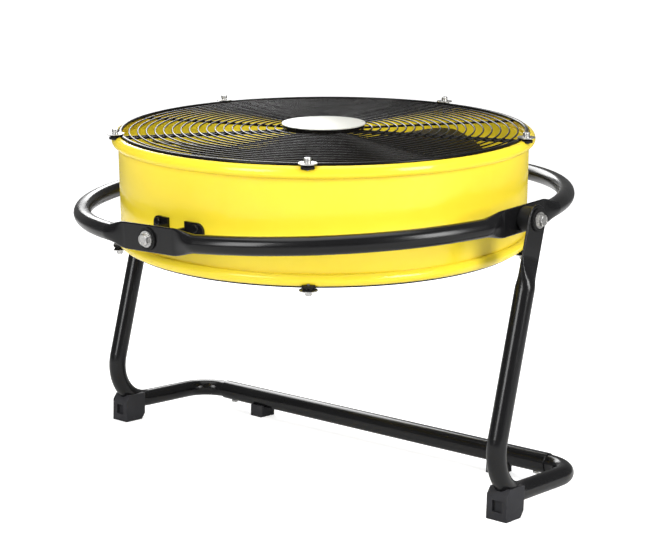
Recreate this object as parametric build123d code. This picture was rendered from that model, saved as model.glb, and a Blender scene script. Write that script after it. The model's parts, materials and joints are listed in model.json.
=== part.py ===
from build123d import *
import os
from math import asin, cos, degrees, pi, radians, sin, sqrt

# A drum fan on a gimbal. A round drum swivels in a tube ring about Y, and the ring tilts on two
# bent tube legs about X. Origin: on the floor, under the middle of the object. -Y is the front.
# Lengths are millimetres, angles are degrees.

# Pivots and the pose the fan stands in
PIVOT_H = 353.0         # height of the two crossing pivot axes above the floor
TILT = 5.86             # ring about X: the front is low
SWIVEL = 2.85           # drum in the ring about Y
SEAT_GAP = 0.15         # between flat faces that turn on each other
PIN_GAP = 0.08          # radial, round a pivot bolt or a shaft
FIT_GAP = 0.1           # round a piece that sits in a seat cut for it
THROUGH = 1.0           # a cutter runs this far past the faces that it opens

# Drum
DRUM_R = 265.0          # outside of the wall
DRUM_DEPTH = 141.0
DRUM_SHEET = 1.5
DRUM_RISE = 20.3        # middle of the drum above the pivots
BEAD_OUT = 8.0          # the rim bead stands this far out of the wall
BEAD_PEAK = 9.0         # its widest line is this far in from the edge
BEAD_H = 14.2           # its crease is this far in from the edge
LIP_OUT = 1.0           # the edge itself stands this far out of the wall

# Guards, front and rear alike
WIRE_R = 1.5            # ring and spoke wires
WIRE_SIDES = 8          # the rings' wires are drawn with flat sides
RIM_WIRE_R = 2.5        # outermost ring
RIM_WIRE_GAP = 0.5      # between the outermost ring and the drum's edge
GUARD_LIFT = 0.5        # the rings' middles lie this far outside the drum's edge
GUARD_WELD = 0.4        # a spoke sinks this far into a ring
GUARD_PITCH = 11.0      # ring to ring
FIRST_RING_R = 52.0
SPOKE_START_R = 24.0
LUGS = 5                # double spokes, each with a screw at its end
LUG_ANGLE = -53.0       # direction of the first one
LUG_R = 269.5           # circle of the screws
LUG_LOOP_R = 5.5        # half the distance between the two wires of a double spoke
KNEE_BEND_R = 5.0       # where a double spoke climbs over the drum's edge
PLATE_R = 54.2
PLATE_SHEET = 1.0
PLATE_DOME = 2.6
PLATE_LIP = 0.6
PLATE_RISE = 4.2        # height of the black ring that the plate stands on
PLATE_RING_IN_R = 46.0
BACKING_R = 34.0
BACKING_SHEET = 1.5
STUD_R = 3.0
STUD_NUT_AF = 10.0
STUD_NUT_H = 4.0
STUD_END = 1.0          # thread standing out of the nut
LUG_SCREW_R = 2.2
LUG_SCREW_L = 14.5
LUG_HEAD_R = 4.2
LUG_HEAD_H = 6.0
LUG_HEAD_ROUND = 1.2
LUG_WASHER_R = 11.0
LUG_WASHER_T = 1.2
GROMMET_R = 8.0
GROMMET_H = 2.8

# Ring
RING_R = 314.0          # centre line
RING_TUBE_R = 11.1
RING_WALL = 1.5
RING_FLAT_T = 3.3       # thickness of the tube where it is pressed flat
RING_FLAT_L = 80.0      # length of each pressed flat
RING_TAPER_L = 34.0     # from flat to round

# Legs and cross bar
LEG_X = 331.0           # middle of each leg's tube
LEG_TUBE_R = 12.0
LEG_WALL = 1.5
LEG_LEAN = 13.6         # forward lean, degrees
LEG_FLAT_T = 3.2
LEG_FLAT_L = 44.0       # pressed flat below the pivot
LEG_TAPER_L = 40.0
TUBE_H = 26.6           # middle of the low tubes above the floor
TOE_BEND_R = 58.0
HEEL_BEND_R = 42.0
BAR_Y = 120.0
BAR_TUBE_R = 13.5
PLUG_GAP = 0.2          # round the leg tube inside the cross bar
PLUG_L = 45.0           # length of leg tube inside the cross bar
BAR_END_ROUND = 0.9
BAR_SCREW_IN = 18.0     # from the cross bar's end to its screw

# Feet
TOE_FOOT_W = 29.0
TOE_FOOT_FRONT = -58.0
TOE_FOOT_BACK = -22.0
TOE_FOOT_H = 39.0
TOE_CUT_Y = 6.0         # the front top edge and the rear low one are cut off this far
TOE_CUT_Z = 8.5
TOE_WINDOW = 14.0       # square recess in the front face
TOE_WINDOW_DEEP = 6.5
TOE_WINDOW_Z = 17.0     # its middle above the floor
HEEL_FOOT_X = 213.0
HEEL_FOOT_L = 21.0
HEEL_FOOT_W = 29.0
HEEL_FOOT_H = 17.0
FOOT_CHAMFER = 2.0
FOOT_SCREW_R = 2.2
FOOT_HEAD_R = 4.5
FOOT_HEAD_H = 2.6
FOOT_RECESS_R = 5.2
FOOT_RECESS_H = 6.0
FOOT_SCREW_UP = 4.0     # the screw stands this far into the tube

# Pivot hardware, the same at the legs and at the drum
BOLT_R = 4.0
BOLT_AF = 13.0
BOLT_HEAD_H = 5.5
BOLT_END = 1.4          # thread standing out of the nut
HEX_TURNED = 0.93       # a hexagon's end is turned down to this share of its corners
NUT_AF = 13.0
NUT_H = 7.5
WASHER_R = 9.8
WASHER_T = 1.6
COLLAR_R = 13.5
COLLAR_T = 2.0
COLLAR_GROOVES = 18
COLLAR_GROOVE_R = 0.7
SPACER_R = 15.0
DRUM_SPACER_R = 13.0
DRUM_SPACER_T = 3.0

# Brackets that carry the drum
BRACKET_T = 3.0
BRIDGE_HALF_W = 14.0
BRIDGE_HALF_H = 8.0
BRIDGE_BEND_R = 6.0     # outside of its bends
EAR_END = 42.0
EAR_HALF_H = 15.0
EAR_CORNER_R = 10.0
EAR_SCREW_X = 31.0
EAR_SCREW_Z = 8.5
EAR_SCREW_R = 2.5
EAR_HEAD_R = 5.0
EAR_HEAD_H = 3.4
EAR_SCREW_L = 9.0

# Motor and its mount bars
AXLE_ANGLE = 132.0      # direction of the mount bars and of the control box
MOUNT_BAR_W = 30.0
MOUNT_BAR_T = 4.0
MOUNT_BAR_Y = 40.0      # each bar beside the middle
MOUNT_BAR_Z = -60.0     # underside
MOUNT_TAB_H = 26.0
MOTOR_R = 64.0
BELL_WALL = 4.0
BELL_SLOTS = 8
BELL_SLOT_W = 6.0
BELL_SLOT_L = 19.0
BELL_SLOT_R = 34.0      # circle of the slots' middles
REAR_BELL_H = 20.0
STATOR_L = 22.0
STATOR_IN_R = 36.5
STATOR_INSET = 1.0
FRONT_BELL_H = 20.0
WINDING_OVER = 9.0
WINDING_OUT_R = 51.0
WINDING_IN_R = 40.0
WINDING_ROUND = 3.0
ROTOR_R = 35.5
ROTOR_INSET = 1.0       # the core is this much shorter than the stator at each end
ROTOR_END_R = 30.0
ROTOR_END_H = 5.0
BEARING_R = 17.5
BEARING_W = 10.0
BEARING_SEAT_T = 3.0
BEARING_CHAMFER = 0.6
SHAFT_R = 8.0
SHOULDER_R = 10.0       # thick part of the shaft between the bearings
SHAFT_CHAMFER = 1.0
SHAFT_OVER = 36.0       # shaft above the motor
STAY_R = 2.0            # long bolts through the motor
STAY_HEAD_R = 3.6
STAY_HEAD_H = 2.6
STAY_PCD_R = 59.5
STAY_LAND = 6.0         # a bell's lip reaches this far inside the bolts' circle
MOUNT_BOLT_R = 3.0
MOUNT_BOLT_AF = 10.0
MOUNT_HEAD_H = 4.0

# Fan
FAN_R = 250.0
BLADES = 3
BLADE_T = 2.0
BLADE_CHORD = 128.0
BLADE_PITCH = 17.0      # degrees
BLADE_CAMBER_R = 260.0
BLADE_ROOT_R = 60.0
BLADE_ROOT_W = 74.0
BLADE_CORNER_R = 26.0
BLADE_Z = 16.0          # height of the pitch axis
ARM_W = 40.0
ARM_T = 3.0
ARM_END_R = 118.0
SPIDER_R = 38.0
SPIDER_T = 3.0
HUB_R = 21.0
HUB_H = 26.0
HUB_BASE = 8.0
HUB_CHAMFER = 1.5
RIVET_R = 2.4
RIVET_HEAD_R = 4.6
RIVET_HEAD_H = 1.8
RIVET_FIRST_R = 74.0
RIVET_STEP = 34.0
GRUB_R = 3.0
GRUB_UP = 5.0           # its axis above the hub's underside
GRUB_INSET = 1.0        # the set screw ends this far inside the hub

# Control box on the drum's wall
BOX_W = 100.0
BOX_Z0 = -16.0
BOX_H = 50.0
BOX_FACE_R = 284.0      # front face, from the drum's axis
BOX_WALL = 2.2
BOX_CORNER_R = 6.0
BOX_SINK = 10.0         # the block starts this deep and is cut to the wall's curve
BOX_SCREW_R = 1.6
BOX_SCREW_HEAD_R = 3.0
BOX_SCREW_HEAD_H = 1.8
BOX_POST_R = 4.2
BOX_SCREW_INSET = 6.5
BOX_SCREW_IN = 8.0      # the screws end this far inside the wall
KNOB_R = 14.0
KNOB_H = 9.0
KNOB_CHAMFER = 1.2
KNOB_X = 16.0
KNOB_SHAFT_R = 3.0
POINTER_W = 5.0
POINTER_L = 12.0
POINTER_H = 2.0
POINTER_SINK = 0.2
SWITCH_W = 26.0
SWITCH_H = 26.0
SWITCH_D = 10.0
CAPACITOR_W = 30.0
CAPACITOR_H = 22.0
CAPACITOR_D = 9.0
GLAND_R = 6.5
GLAND_BORE_R = 3.6
GLAND_NUT_AF = 16.0
GLAND_NUT_H = 5.0
GLAND_L = 12.0
GLAND_IN = 2.0          # it stands this far into the box

# Lead from the motor to the control box
LEAD_R = 3.0
LEAD_Y = -30.0          # beside the middle, near a mount bar's edge
LEAD_RISE_X = 150.0     # it leaves the bar here
LEAD_LEVEL_X = 215.0    # and runs level again from here
LEAD_BEND_R = 60.0
LEAD_IN = 3.0           # length inside the control box
LEAD_EXIT_Z = -8.0
CLIP_T = 1.2
CLIP_W = 8.0
CLIP_X = (81.0, 116.0)  # where the clips start along the bar
GROMMET_WALL = 1.4

# Places that follow
EDGE_Z = DRUM_DEPTH / 2
WALL_IN_R = DRUM_R - DRUM_SHEET
GUARD_Z = EDGE_Z + GUARD_LIFT
SPOKE_Z = GUARD_Z - 2 * WIRE_R + GUARD_WELD
SPOKE_TOP_Z = EDGE_Z + WIRE_R + FIT_GAP
GUARD_R = DRUM_R + LIP_OUT - DRUM_SHEET - RIM_WIRE_GAP - RIM_WIRE_R
LUG_SEAT_Z = SPOKE_TOP_Z + WIRE_R
FLAT_HALF = RING_FLAT_L / 2
FLAT_ANGLE = degrees(asin(FLAT_HALF / RING_R))
ROUND_ANGLE = degrees((FLAT_HALF + RING_TAPER_L) / RING_R)
RING_FLAT_R = RING_R * cos(radians(FLAT_ANGLE))
RING_OUT = RING_FLAT_R + RING_FLAT_T / 2
RING_IN = RING_FLAT_R - RING_FLAT_T / 2
LEG_IN = LEG_X - LEG_FLAT_T / 2
LEG_OUT = LEG_X + LEG_FLAT_T / 2
SPACER_BORE_R = BOLT_R + PIN_GAP
DRUM_SPACER_IN = RING_IN - DRUM_SPACER_T
BRIDGE_OUT = DRUM_SPACER_IN - SEAT_GAP
BRIDGE_IN = BRIDGE_OUT - BRACKET_T
BAR_IN_R = LEG_TUBE_R + PLUG_GAP
BAR_END_X = LEG_X - HEEL_BEND_R - FIT_GAP
TOE_Y = -(PIVOT_H - TUBE_H) * sin(radians(LEG_LEAN)) / cos(radians(LEG_LEAN))
MOTOR_Z = MOUNT_BAR_Z + MOUNT_BAR_T
STATOR_Z = MOTOR_Z + REAR_BELL_H
FRONT_BELL_Z = STATOR_Z + STATOR_L
MOTOR_TOP = FRONT_BELL_Z + FRONT_BELL_H
BOX_MID_Z = BOX_Z0 + BOX_H / 2

# Frames of the moving parts
GIMBAL_AT = Pos(0, 0, PIVOT_H)
RING_AT = GIMBAL_AT * Rot(TILT, 0, 0)
DRUM_AT = RING_AT * Rot(0, SWIVEL, 0) * Pos(0, 0, DRUM_RISE)
FRONT, REAR = Rot(90, 0, 0), Rot(-90, 0, 0)     # local Z points out to the front, to the rear
RIGHT, LEFT = Rot(0, 90, 0), Rot(0, -90, 0)     # the same for the right and the left
PIVOT_LINE = Pos(0, 0, -DRUM_RISE)              # drum's frame to its pivot axis
BOX_AT = Rot(0, 0, AXLE_ANGLE)                  # local X points out at the control box


# ---------------------------------------------------------------- shapes used again and again

def rod(radius, start, end):
    """Round bar from one point to another."""
    line = Vector(*end) - Vector(*start)
    return Solid.make_cylinder(radius, line.length, Plane(origin=start, z_dir=line))


def disc(radius, z0, z1, bore=0.0):
    """Disc or washer about Z."""
    face = Circle(radius) - Circle(bore) if bore else Circle(radius)
    return Pos(0, 0, z0) * extrude(face, z1 - z0)


def hexagon(across_flats, z0, z1, bore=0.0):
    """Hexagon prism about Z with its outer corners turned off."""
    prism = Pos(0, 0, z0) * extrude(RegularPolygon(across_flats / 2, 6, major_radius=False), z1 - z0)
    corner = across_flats / 2 / cos(radians(30))
    upright = (Align.CENTER, Align.CENTER, Align.MIN)
    cone = Pos(0, 0, z1 - corner) * Cone(2 * corner, corner * HEX_TURNED, corner, align=upright)
    prism = prism & (disc(2 * corner, z0, z1 - corner) + cone) if z1 - z0 > corner else prism & cone
    return prism - disc(bore, z0 - THROUGH, z1 + THROUGH) if bore else prism


def pressed_section(radius, thick, share):
    """Tube's outline on its way from round, share 0, to pressed flat, share 1. Thin along X."""
    flat = share * share * (3 - 2 * share)
    half_t = radius + (thick / 2 - radius) * flat
    half_w = half_t + pi * (radius - half_t) / 2
    corner_x = radius * sqrt(0.5) + (thick / 2 - radius * sqrt(0.5)) * flat
    corner_y = radius * sqrt(0.5) + (half_w - thick / 2 - radius * sqrt(0.5)) * flat
    corners = [(corner_x, corner_y), (corner_x, -corner_y), (-corner_x, -corner_y), (-corner_x, corner_y)]
    middles = [(half_t, 0), (0, -half_w), (-half_t, 0), (0, half_w)]
    edges = []
    for i in range(4):
        start, end = corners[i], corners[(i + 1) % 4]
        straight = share == 1 and i % 2 == 0
        edges.append(Line(start, end) if straight else ThreePointArc(start, middles[i], end))
    return make_face(edges)


def pressed_half_width(radius, thick):
    """Half the width of a tube that is pressed to this thickness."""
    return thick / 2 + pi * (radius - thick / 2) / 2


def on_wall(solid_r0, solid_r1, width, z0, z1, corner):
    """Curved plate about Z with rounded corners, its middle towards +X."""
    shell = disc(solid_r1, z0, z1, solid_r0)
    outline = RectangleRounded(width, z1 - z0, corner)
    window = Pos(0, 0, (z0 + z1) / 2) * Plane.YZ.location * extrude(outline, solid_r1 + THROUGH)
    return shell & window


# ---------------------------------------------------------------- base

def leg_frame(side):
    """Frame at a leg's pivot: Z up along the leaning tube, X across it."""
    return Pos(side * LEG_X, 0, PIVOT_H) * Rot(-LEG_LEAN, 0, 0)


def leg_path(side):
    """Centre line of the round tube, from below the pressed end to inside the cross bar."""
    start = leg_frame(side) * Pos(0, 0, -LEG_FLAT_L - LEG_TAPER_L)
    x = side * LEG_X
    plug_x = side * (BAR_END_X - PLUG_L)
    corners = [(x, TOE_Y, TUBE_H), (x, BAR_Y, TUBE_H), (plug_x, BAR_Y, TUBE_H)]
    return FilletPolyline(start.position, *corners, radius=[TOE_BEND_R, HEEL_BEND_R])


def leg_tube(side, radius, bore=0.0):
    """Round tube or bar swept along a leg's centre line."""
    path = leg_path(side)
    face = Circle(radius) - Circle(bore) if bore else Circle(radius)
    return sweep(Plane(origin=path @ 0, z_dir=path % 0) * face, path=path)


def leg_top(side):
    """Pressed end of a leg, with its rounded tip and the taper to the round tube."""
    flat = pressed_section(LEG_TUBE_R, LEG_FLAT_T, 1)
    half_w = pressed_half_width(LEG_TUBE_R, LEG_FLAT_T)
    half = flat & Pos(0, half_w) * Rectangle(4 * LEG_FLAT_T, 2 * half_w)
    tip = revolve(half, Axis.X, 180)
    strip = extrude(flat, -LEG_FLAT_L)
    steps = [0, 0.25, 0.5, 0.75, 1]
    rings = [Pos(0, 0, -LEG_FLAT_L - LEG_TAPER_L * (1 - s)) * pressed_section(LEG_TUBE_R, LEG_FLAT_T, s)
             for s in steps]
    taper = loft(rings)
    hole = rod(BOLT_R + FIT_GAP, (-LEG_FLAT_T, 0, 0), (LEG_FLAT_T, 0, 0))
    return leg_frame(side) * (tip + strip + taper - hole)


def leg(side):
    """One leg: pressed top, toe bend, low run and heel bend in a single tube."""
    body = leg_top(side) + leg_tube(side, LEG_TUBE_R, LEG_TUBE_R - LEG_WALL)
    return body - foot_screw_hole(side, "toe") - bar_screw(side, FIT_GAP)


def cross_bar():
    """Rear tube that the two legs are plugged into, with rounded ends."""
    end = BAR_END_X
    ring = Circle(BAR_TUBE_R) - Circle(BAR_IN_R)
    bar = Pos(-end, BAR_Y, TUBE_H) * Rot(0, 90, 0) * extrude(ring, 2 * end)
    rims = bar.edges().filter_by(GeomType.CIRCLE).filter_by(lambda e: e.radius > BAR_IN_R + FIT_GAP)
    bar = fillet(rims, BAR_END_ROUND)
    for side in (-1, 1):
        bar = bar - bar_screw(side, FIT_GAP) - foot_screw_hole(side, "heel")
    return bar


def bar_screw(side, gap=0.0):
    """Screw from below that holds a leg in the cross bar."""
    x = side * (BAR_END_X - BAR_SCREW_IN)
    low = TUBE_H - BAR_TUBE_R
    end = TUBE_H - LEG_TUBE_R + FOOT_SCREW_UP
    shank = rod(FOOT_SCREW_R + gap, (x, BAR_Y, low - FIT_GAP), (x, BAR_Y, end))
    if gap:
        return shank
    return shank + rod(FOOT_HEAD_R, (x, BAR_Y, low - FOOT_HEAD_H), (x, BAR_Y, low - FIT_GAP))


def foot_place(side, which):
    """Middle of a foot's screw on the floor, and the height of the tube's underside above it."""
    if which == "heel":
        return side * HEEL_FOOT_X, BAR_Y, TUBE_H - BAR_TUBE_R
    y = (TOE_FOOT_FRONT + TOE_FOOT_BACK) / 2
    turn = radians(90 + LEG_LEAN) / 2
    centre_y = TOE_Y + TOE_BEND_R * sin(turn) / cos(turn)
    drop = sqrt((TOE_BEND_R + LEG_TUBE_R) ** 2 - (y - centre_y) ** 2)
    return side * LEG_X, y, TUBE_H + TOE_BEND_R - drop


def foot_screw(side, which):
    """Screw from the foot's recess up into the tube."""
    x, y, under = foot_place(side, which)
    seat = FOOT_RECESS_H
    shank = rod(FOOT_SCREW_R, (x, y, seat), (x, y, under + FOOT_SCREW_UP))
    return shank + rod(FOOT_HEAD_R, (x, y, seat - FOOT_HEAD_H), (x, y, seat))


def foot_screw_hole(side, which):
    """Room for a foot's screw in the foot and in the tube."""
    x, y, under = foot_place(side, which)
    return rod(FOOT_SCREW_R + FIT_GAP, (x, y, -THROUGH), (x, y, under + FOOT_SCREW_UP + FIT_GAP))


def foot_recess(side, which):
    """Room for the head of a foot's screw."""
    x, y, _ = foot_place(side, which)
    return rod(FOOT_RECESS_R, (x, y, -THROUGH), (x, y, FOOT_RECESS_H))


def toe_foot(side):
    """Rubber block under a leg's toe bend, with a saddle for the tube and a square recess."""
    outline = Polyline(
        (TOE_FOOT_FRONT, 0),
        (TOE_FOOT_FRONT, TOE_FOOT_H - TOE_CUT_Z),
        (TOE_FOOT_FRONT + TOE_CUT_Y, TOE_FOOT_H),
        (TOE_FOOT_BACK, TOE_FOOT_H),
        (TOE_FOOT_BACK, TOE_CUT_Z),
        (TOE_FOOT_BACK - TOE_CUT_Y, 0),
        close=True,
    )
    section = Plane.YZ * make_face(outline)
    block = Pos(side * LEG_X, 0, 0) * extrude(section, TOE_FOOT_W / 2, both=True)
    window = Box(TOE_WINDOW, 2 * TOE_WINDOW_DEEP, TOE_WINDOW)
    block -= Pos(side * LEG_X, TOE_FOOT_FRONT, TOE_WINDOW_Z) * window
    block -= leg_tube(side, LEG_TUBE_R + FIT_GAP)
    return block - foot_screw_hole(side, "toe") - foot_recess(side, "toe")


def heel_foot(side):
    """Low rubber block under the cross bar."""
    x = side * HEEL_FOOT_X
    block = Pos(x, BAR_Y, HEEL_FOOT_H / 2) * Box(HEEL_FOOT_L, HEEL_FOOT_W, HEEL_FOOT_H)
    block = chamfer(block.edges().filter_by(Axis.Z), FOOT_CHAMFER)
    block -= rod(BAR_TUBE_R + FIT_GAP, (x - HEEL_FOOT_L, BAR_Y, TUBE_H), (x + HEEL_FOOT_L, BAR_Y, TUBE_H))
    return block - foot_screw_hole(side, "heel") - foot_recess(side, "heel")


# ---------------------------------------------------------------- pivots

def bolt(head_at, end_at):
    """Hexagon bolt along Z, its head outwards."""
    return hexagon(BOLT_AF, head_at, head_at + BOLT_HEAD_H) + disc(BOLT_R, end_at, head_at)


def pivot_bolt(face, seat):
    """Bolt that enters at an outer face and has its nut under an inner seat."""
    return bolt(face + COLLAR_T + WASHER_T, seat - WASHER_T - NUT_H - BOLT_END)


def pivot_nut(seat):
    """Lock nut under an inner seat."""
    top = seat - WASHER_T
    return Pos(0, 0, top) * Rot(180, 0, 0) * hexagon(NUT_AF, 0, NUT_H, BOLT_R)


def pivot_washers(face, seat):
    """One steel washer under the bolt's head and one under the nut."""
    outer = face + COLLAR_T
    return [disc(WASHER_R, outer, outer + WASHER_T, BOLT_R), disc(WASHER_R, seat - WASHER_T, seat, BOLT_R)]


def pivot_collar(face):
    """Black plastic disc between the outer face and the steel washer, with a grooved rim."""
    body = disc(COLLAR_R, face, face + COLLAR_T, BOLT_R)
    groove = Pos(COLLAR_R, 0, face + COLLAR_T / 2) * Cylinder(COLLAR_GROOVE_R, COLLAR_T + THROUGH)
    for i in range(COLLAR_GROOVES):
        body -= Rot(0, 0, 360 / COLLAR_GROOVES * i) * groove
    return body


LEG_SEAT = RING_IN - SEAT_GAP           # inner washer of a leg pivot turns on the ring here
DRUM_SEAT = BRIDGE_IN - SEAT_GAP        # inner washer of a drum pivot turns on the bracket here


def at_legs(*shapes):
    """Copies of solids at the right and left leg pivots."""
    return [GIMBAL_AT * side * shape for shape in shapes for side in (RIGHT, LEFT)]


def at_drum(*shapes):
    """Copies of solids at the front and rear drum pivots."""
    return [RING_AT * side * shape for shape in shapes for side in (FRONT, REAR)]


# ---------------------------------------------------------------- ring

def ring_section(share):
    """Place and outline of the ring's tube on its way from the pressed flat, share 1, to round."""
    along = FLAT_ANGLE + (ROUND_ANGLE - FLAT_ANGLE) * (1 - share)
    turn = ROUND_ANGLE * (1 - share)
    place = Pos(RING_R * cos(radians(along)), RING_R * sin(radians(along)), 0) * Rot(0, 0, turn)
    return place * Rot(90, 0, 0) * pressed_section(RING_TUBE_R, RING_FLAT_T, share)


def ring_quarter():
    """Pressed flat towards +X, its two tapers and a quarter of the round tube."""
    steps = [0, 0.2, 0.4, 0.6, 0.8, 1]
    taper = loft([ring_section(s) for s in steps])
    strip = Pos(RING_FLAT_R, -FLAT_HALF, 0) * Rot(90, 0, 0) * extrude(
        pressed_section(RING_TUBE_R, RING_FLAT_T, 1), -RING_FLAT_L)
    wall = Plane.XZ * (Pos(RING_R, 0) * (Circle(RING_TUBE_R) - Circle(RING_TUBE_R - RING_WALL)))
    arc = Rot(0, 0, ROUND_ANGLE) * revolve(wall, Axis.Z, 90 - 2 * ROUND_ANGLE)
    hole = rod(BOLT_R + PIN_GAP, (RING_IN - THROUGH, 0, 0), (RING_OUT + THROUGH, 0, 0))
    return [taper, mirror(taper, Plane.XZ), strip - hole, arc]


def tilt_ring():
    """Ring of tube with a drilled flat at each of its four pivots."""
    quarter = ring_quarter()
    pieces = [Rot(0, 0, 90 * i) * piece for i in range(4) for piece in quarter]
    return Part() + pieces


# ---------------------------------------------------------------- drum

def bead_arcs():
    """Radii and centres of the two arcs of a bead, on X and Y: above and below its widest line."""
    peak = EDGE_Z - BEAD_PEAK
    out_r = DRUM_R + BEAD_OUT
    upper_r = (BEAD_PEAK ** 2 + (BEAD_OUT - LIP_OUT) ** 2) / (2 * (BEAD_OUT - LIP_OUT))
    lower_r = ((BEAD_H - BEAD_PEAK) ** 2 + BEAD_OUT ** 2) / (2 * BEAD_OUT)
    return upper_r, Vector(out_r - upper_r, peak), lower_r, Vector(out_r - lower_r, peak)


def drum_outline():
    """Upper half of the drum's outside, on X and Y, from the middle to the edge."""
    peak_out = Vector(DRUM_R + BEAD_OUT, EDGE_Z - BEAD_PEAK)
    lip, foot = Vector(DRUM_R + LIP_OUT, EDGE_Z), Vector(DRUM_R, EDGE_Z - BEAD_H)
    return [
        Line((DRUM_R, 0), foot),
        TangentArc(peak_out, foot, tangent=Vector(0, -1), tangent_from_first=True),
        TangentArc(peak_out, lip, tangent=Vector(0, 1), tangent_from_first=True),
    ]


def drum_half_section():
    """Upper half of the sheet's section, on X and Y."""
    upper_r, upper, lower_r, lower = bead_arcs()
    lip, foot = Vector(DRUM_R + LIP_OUT, EDGE_Z), Vector(DRUM_R, EDGE_Z - BEAD_H)
    lip_in = upper + (lip - upper) * ((upper_r - DRUM_SHEET) / upper_r)
    foot_in = lower + (foot - lower) * ((lower_r - DRUM_SHEET) / lower_r)
    peak_in = Vector(DRUM_R + BEAD_OUT - DRUM_SHEET, EDGE_Z - BEAD_PEAK)
    bend_in = Vector(WALL_IN_R, foot.Y + DRUM_SHEET / 2)
    inside = [
        Line(lip, lip_in),
        TangentArc(peak_in, lip_in, tangent=Vector(0, 1), tangent_from_first=True),
        TangentArc(peak_in, foot_in, tangent=Vector(0, -1), tangent_from_first=True),
        Line(foot_in, bend_in),
        Line(bend_in, (WALL_IN_R, 0)),
        Line((WALL_IN_R, 0), (DRUM_R, 0)),
    ]
    return make_face(drum_outline() + inside)


def filled_drum():
    """Upper half of the drum as a solid, to cut what lies against its outside."""
    lip, above = (DRUM_R + LIP_OUT, EDGE_Z), EDGE_Z + GROMMET_H
    closing = [Line(lip, (lip[0], above)), Line((lip[0], above), (0, above)), Line((0, above), (0, 0)),
               Line((0, 0), (DRUM_R, 0))]
    return revolve(Plane.XZ * make_face(drum_outline() + closing), Axis.Z)


def drum_shell():
    """Rolled sheet drum with a bead at each rim and the holes for what is fixed to it."""
    half = revolve(Plane.XZ * drum_half_section(), Axis.Z)
    shell = half + mirror(half, Plane.XY)
    holes = [hole for side in (FRONT, REAR) for hole in ear_screw_holes(side)]
    holes += [lug * turned_over(side) * lug_screw_hole() for lug in lug_frames() for side in (1, -1)]
    holes += box_screw_holes() + [lead_hole(LEAD_R + GROMMET_WALL)]
    return shell - holes


def turned_over(side):
    """Turn that brings something from the drum's front face, side 1, to its rear face, side -1."""
    return Rot(0, 0, 0) if side > 0 else Rot(180, 0, 0)


def lug_frames():
    """Frames at the guard's screws, X outwards."""
    return [Rot(0, 0, LUG_ANGLE + 360 / LUGS * i) * Pos(LUG_R, 0, 0) for i in range(LUGS)]


def lug_screw_hole():
    """Hole through the bead under a guard's screw."""
    return disc(LUG_SCREW_R + FIT_GAP, LUG_SEAT_Z - LUG_SCREW_L - THROUGH, EDGE_Z)


def lug_screw():
    """Round-head screw at the end of a double spoke."""
    seat = LUG_SEAT_Z + LUG_WASHER_T
    head = disc(LUG_HEAD_R, seat, seat + LUG_HEAD_H)
    head = fillet(head.edges().group_by(Axis.Z)[-1], LUG_HEAD_ROUND)
    return head + disc(LUG_SCREW_R, LUG_SEAT_Z - LUG_SCREW_L, seat)


def lug_washer():
    """Wide washer on the loop of a double spoke."""
    return disc(LUG_WASHER_R, LUG_SEAT_Z, LUG_SEAT_Z + LUG_WASHER_T, LUG_SCREW_R + FIT_GAP)


def lug_grommet():
    """Rubber seat between the bead and the loop, cut to the bead's curve."""
    top = SPOKE_TOP_Z - WIRE_R
    body = disc(GROMMET_R, top - GROMMET_H, top, LUG_SCREW_R + FIT_GAP)
    return Pos(-LUG_R, 0, 0) * (Pos(LUG_R, 0, 0) * body - filled_drum())


def bracket():
    """Bridge bracket: two curved ears on the wall carry a strip that the pivot bolt goes through.
    Built with the pivot axis along X."""
    ears = on_wall(DRUM_R, DRUM_R + BRACKET_T, 2 * EAR_END, -EAR_HALF_H, EAR_HALF_H, EAR_CORNER_R)
    gap = Pos(DRUM_R, 0, 0) * Box(DRUM_R, 2 * BRIDGE_HALF_W, 3 * EAR_HALF_H)
    outer = Pos(BRIDGE_OUT / 2, 0, 0) * Box(BRIDGE_OUT, 2 * (BRIDGE_HALF_W + BRACKET_T), 2 * BRIDGE_HALF_H)
    outer = fillet(outer.edges().filter_by(Axis.Z).group_by(Axis.X)[-1], BRIDGE_BEND_R)
    inner = Pos(BRIDGE_IN / 2, 0, 0) * Box(BRIDGE_IN, 2 * BRIDGE_HALF_W, 3 * BRIDGE_HALF_H)
    inner = fillet(inner.edges().filter_by(Axis.Z).group_by(Axis.X)[-1], BRIDGE_BEND_R - BRACKET_T)
    wall = disc(DRUM_R, -2 * EAR_HALF_H, 2 * EAR_HALF_H)
    hole = rod(BOLT_R + PIN_GAP, (BRIDGE_IN - THROUGH, 0, 0), (BRIDGE_OUT + THROUGH, 0, 0))
    return (ears - gap) + (outer - inner - wall) - hole


def at_ears(make, side):
    """Copies of a solid built along X at the four screws of a bracket."""
    angle = degrees(asin(EAR_SCREW_X / DRUM_R))
    heading = -90 if side is FRONT else 90
    places = [Rot(0, 0, heading + turn) * Pos(0, 0, z - DRUM_RISE)
              for turn in (-angle, angle) for z in (-EAR_SCREW_Z, EAR_SCREW_Z)]
    return [place * make for place in places]


def ear_screw():
    """Screw that holds an ear to the wall, along X."""
    seat = DRUM_R + BRACKET_T
    head = rod(EAR_HEAD_R, (seat + FIT_GAP, 0, 0), (seat + EAR_HEAD_H, 0, 0))
    head = fillet(head.edges().group_by(Axis.X)[-1], EAR_HEAD_H / 3)
    top = seat + EAR_HEAD_H / 2
    return head + rod(EAR_SCREW_R, (top - EAR_SCREW_L, 0, 0), (top, 0, 0))


def ear_screw_holes(side):
    """Holes for the screws of a bracket."""
    hole = rod(EAR_SCREW_R + FIT_GAP, (WALL_IN_R - THROUGH, 0, 0), (DRUM_R + BRACKET_T + THROUGH, 0, 0))
    return at_ears(hole, side)


def placed_bracket(side):
    """A bracket at the front or the rear, drilled for its screws."""
    heading = -90 if side is FRONT else 90
    return PIVOT_LINE * Rot(0, 0, heading) * bracket() - ear_screw_holes(side)


# ---------------------------------------------------------------- guards

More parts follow.
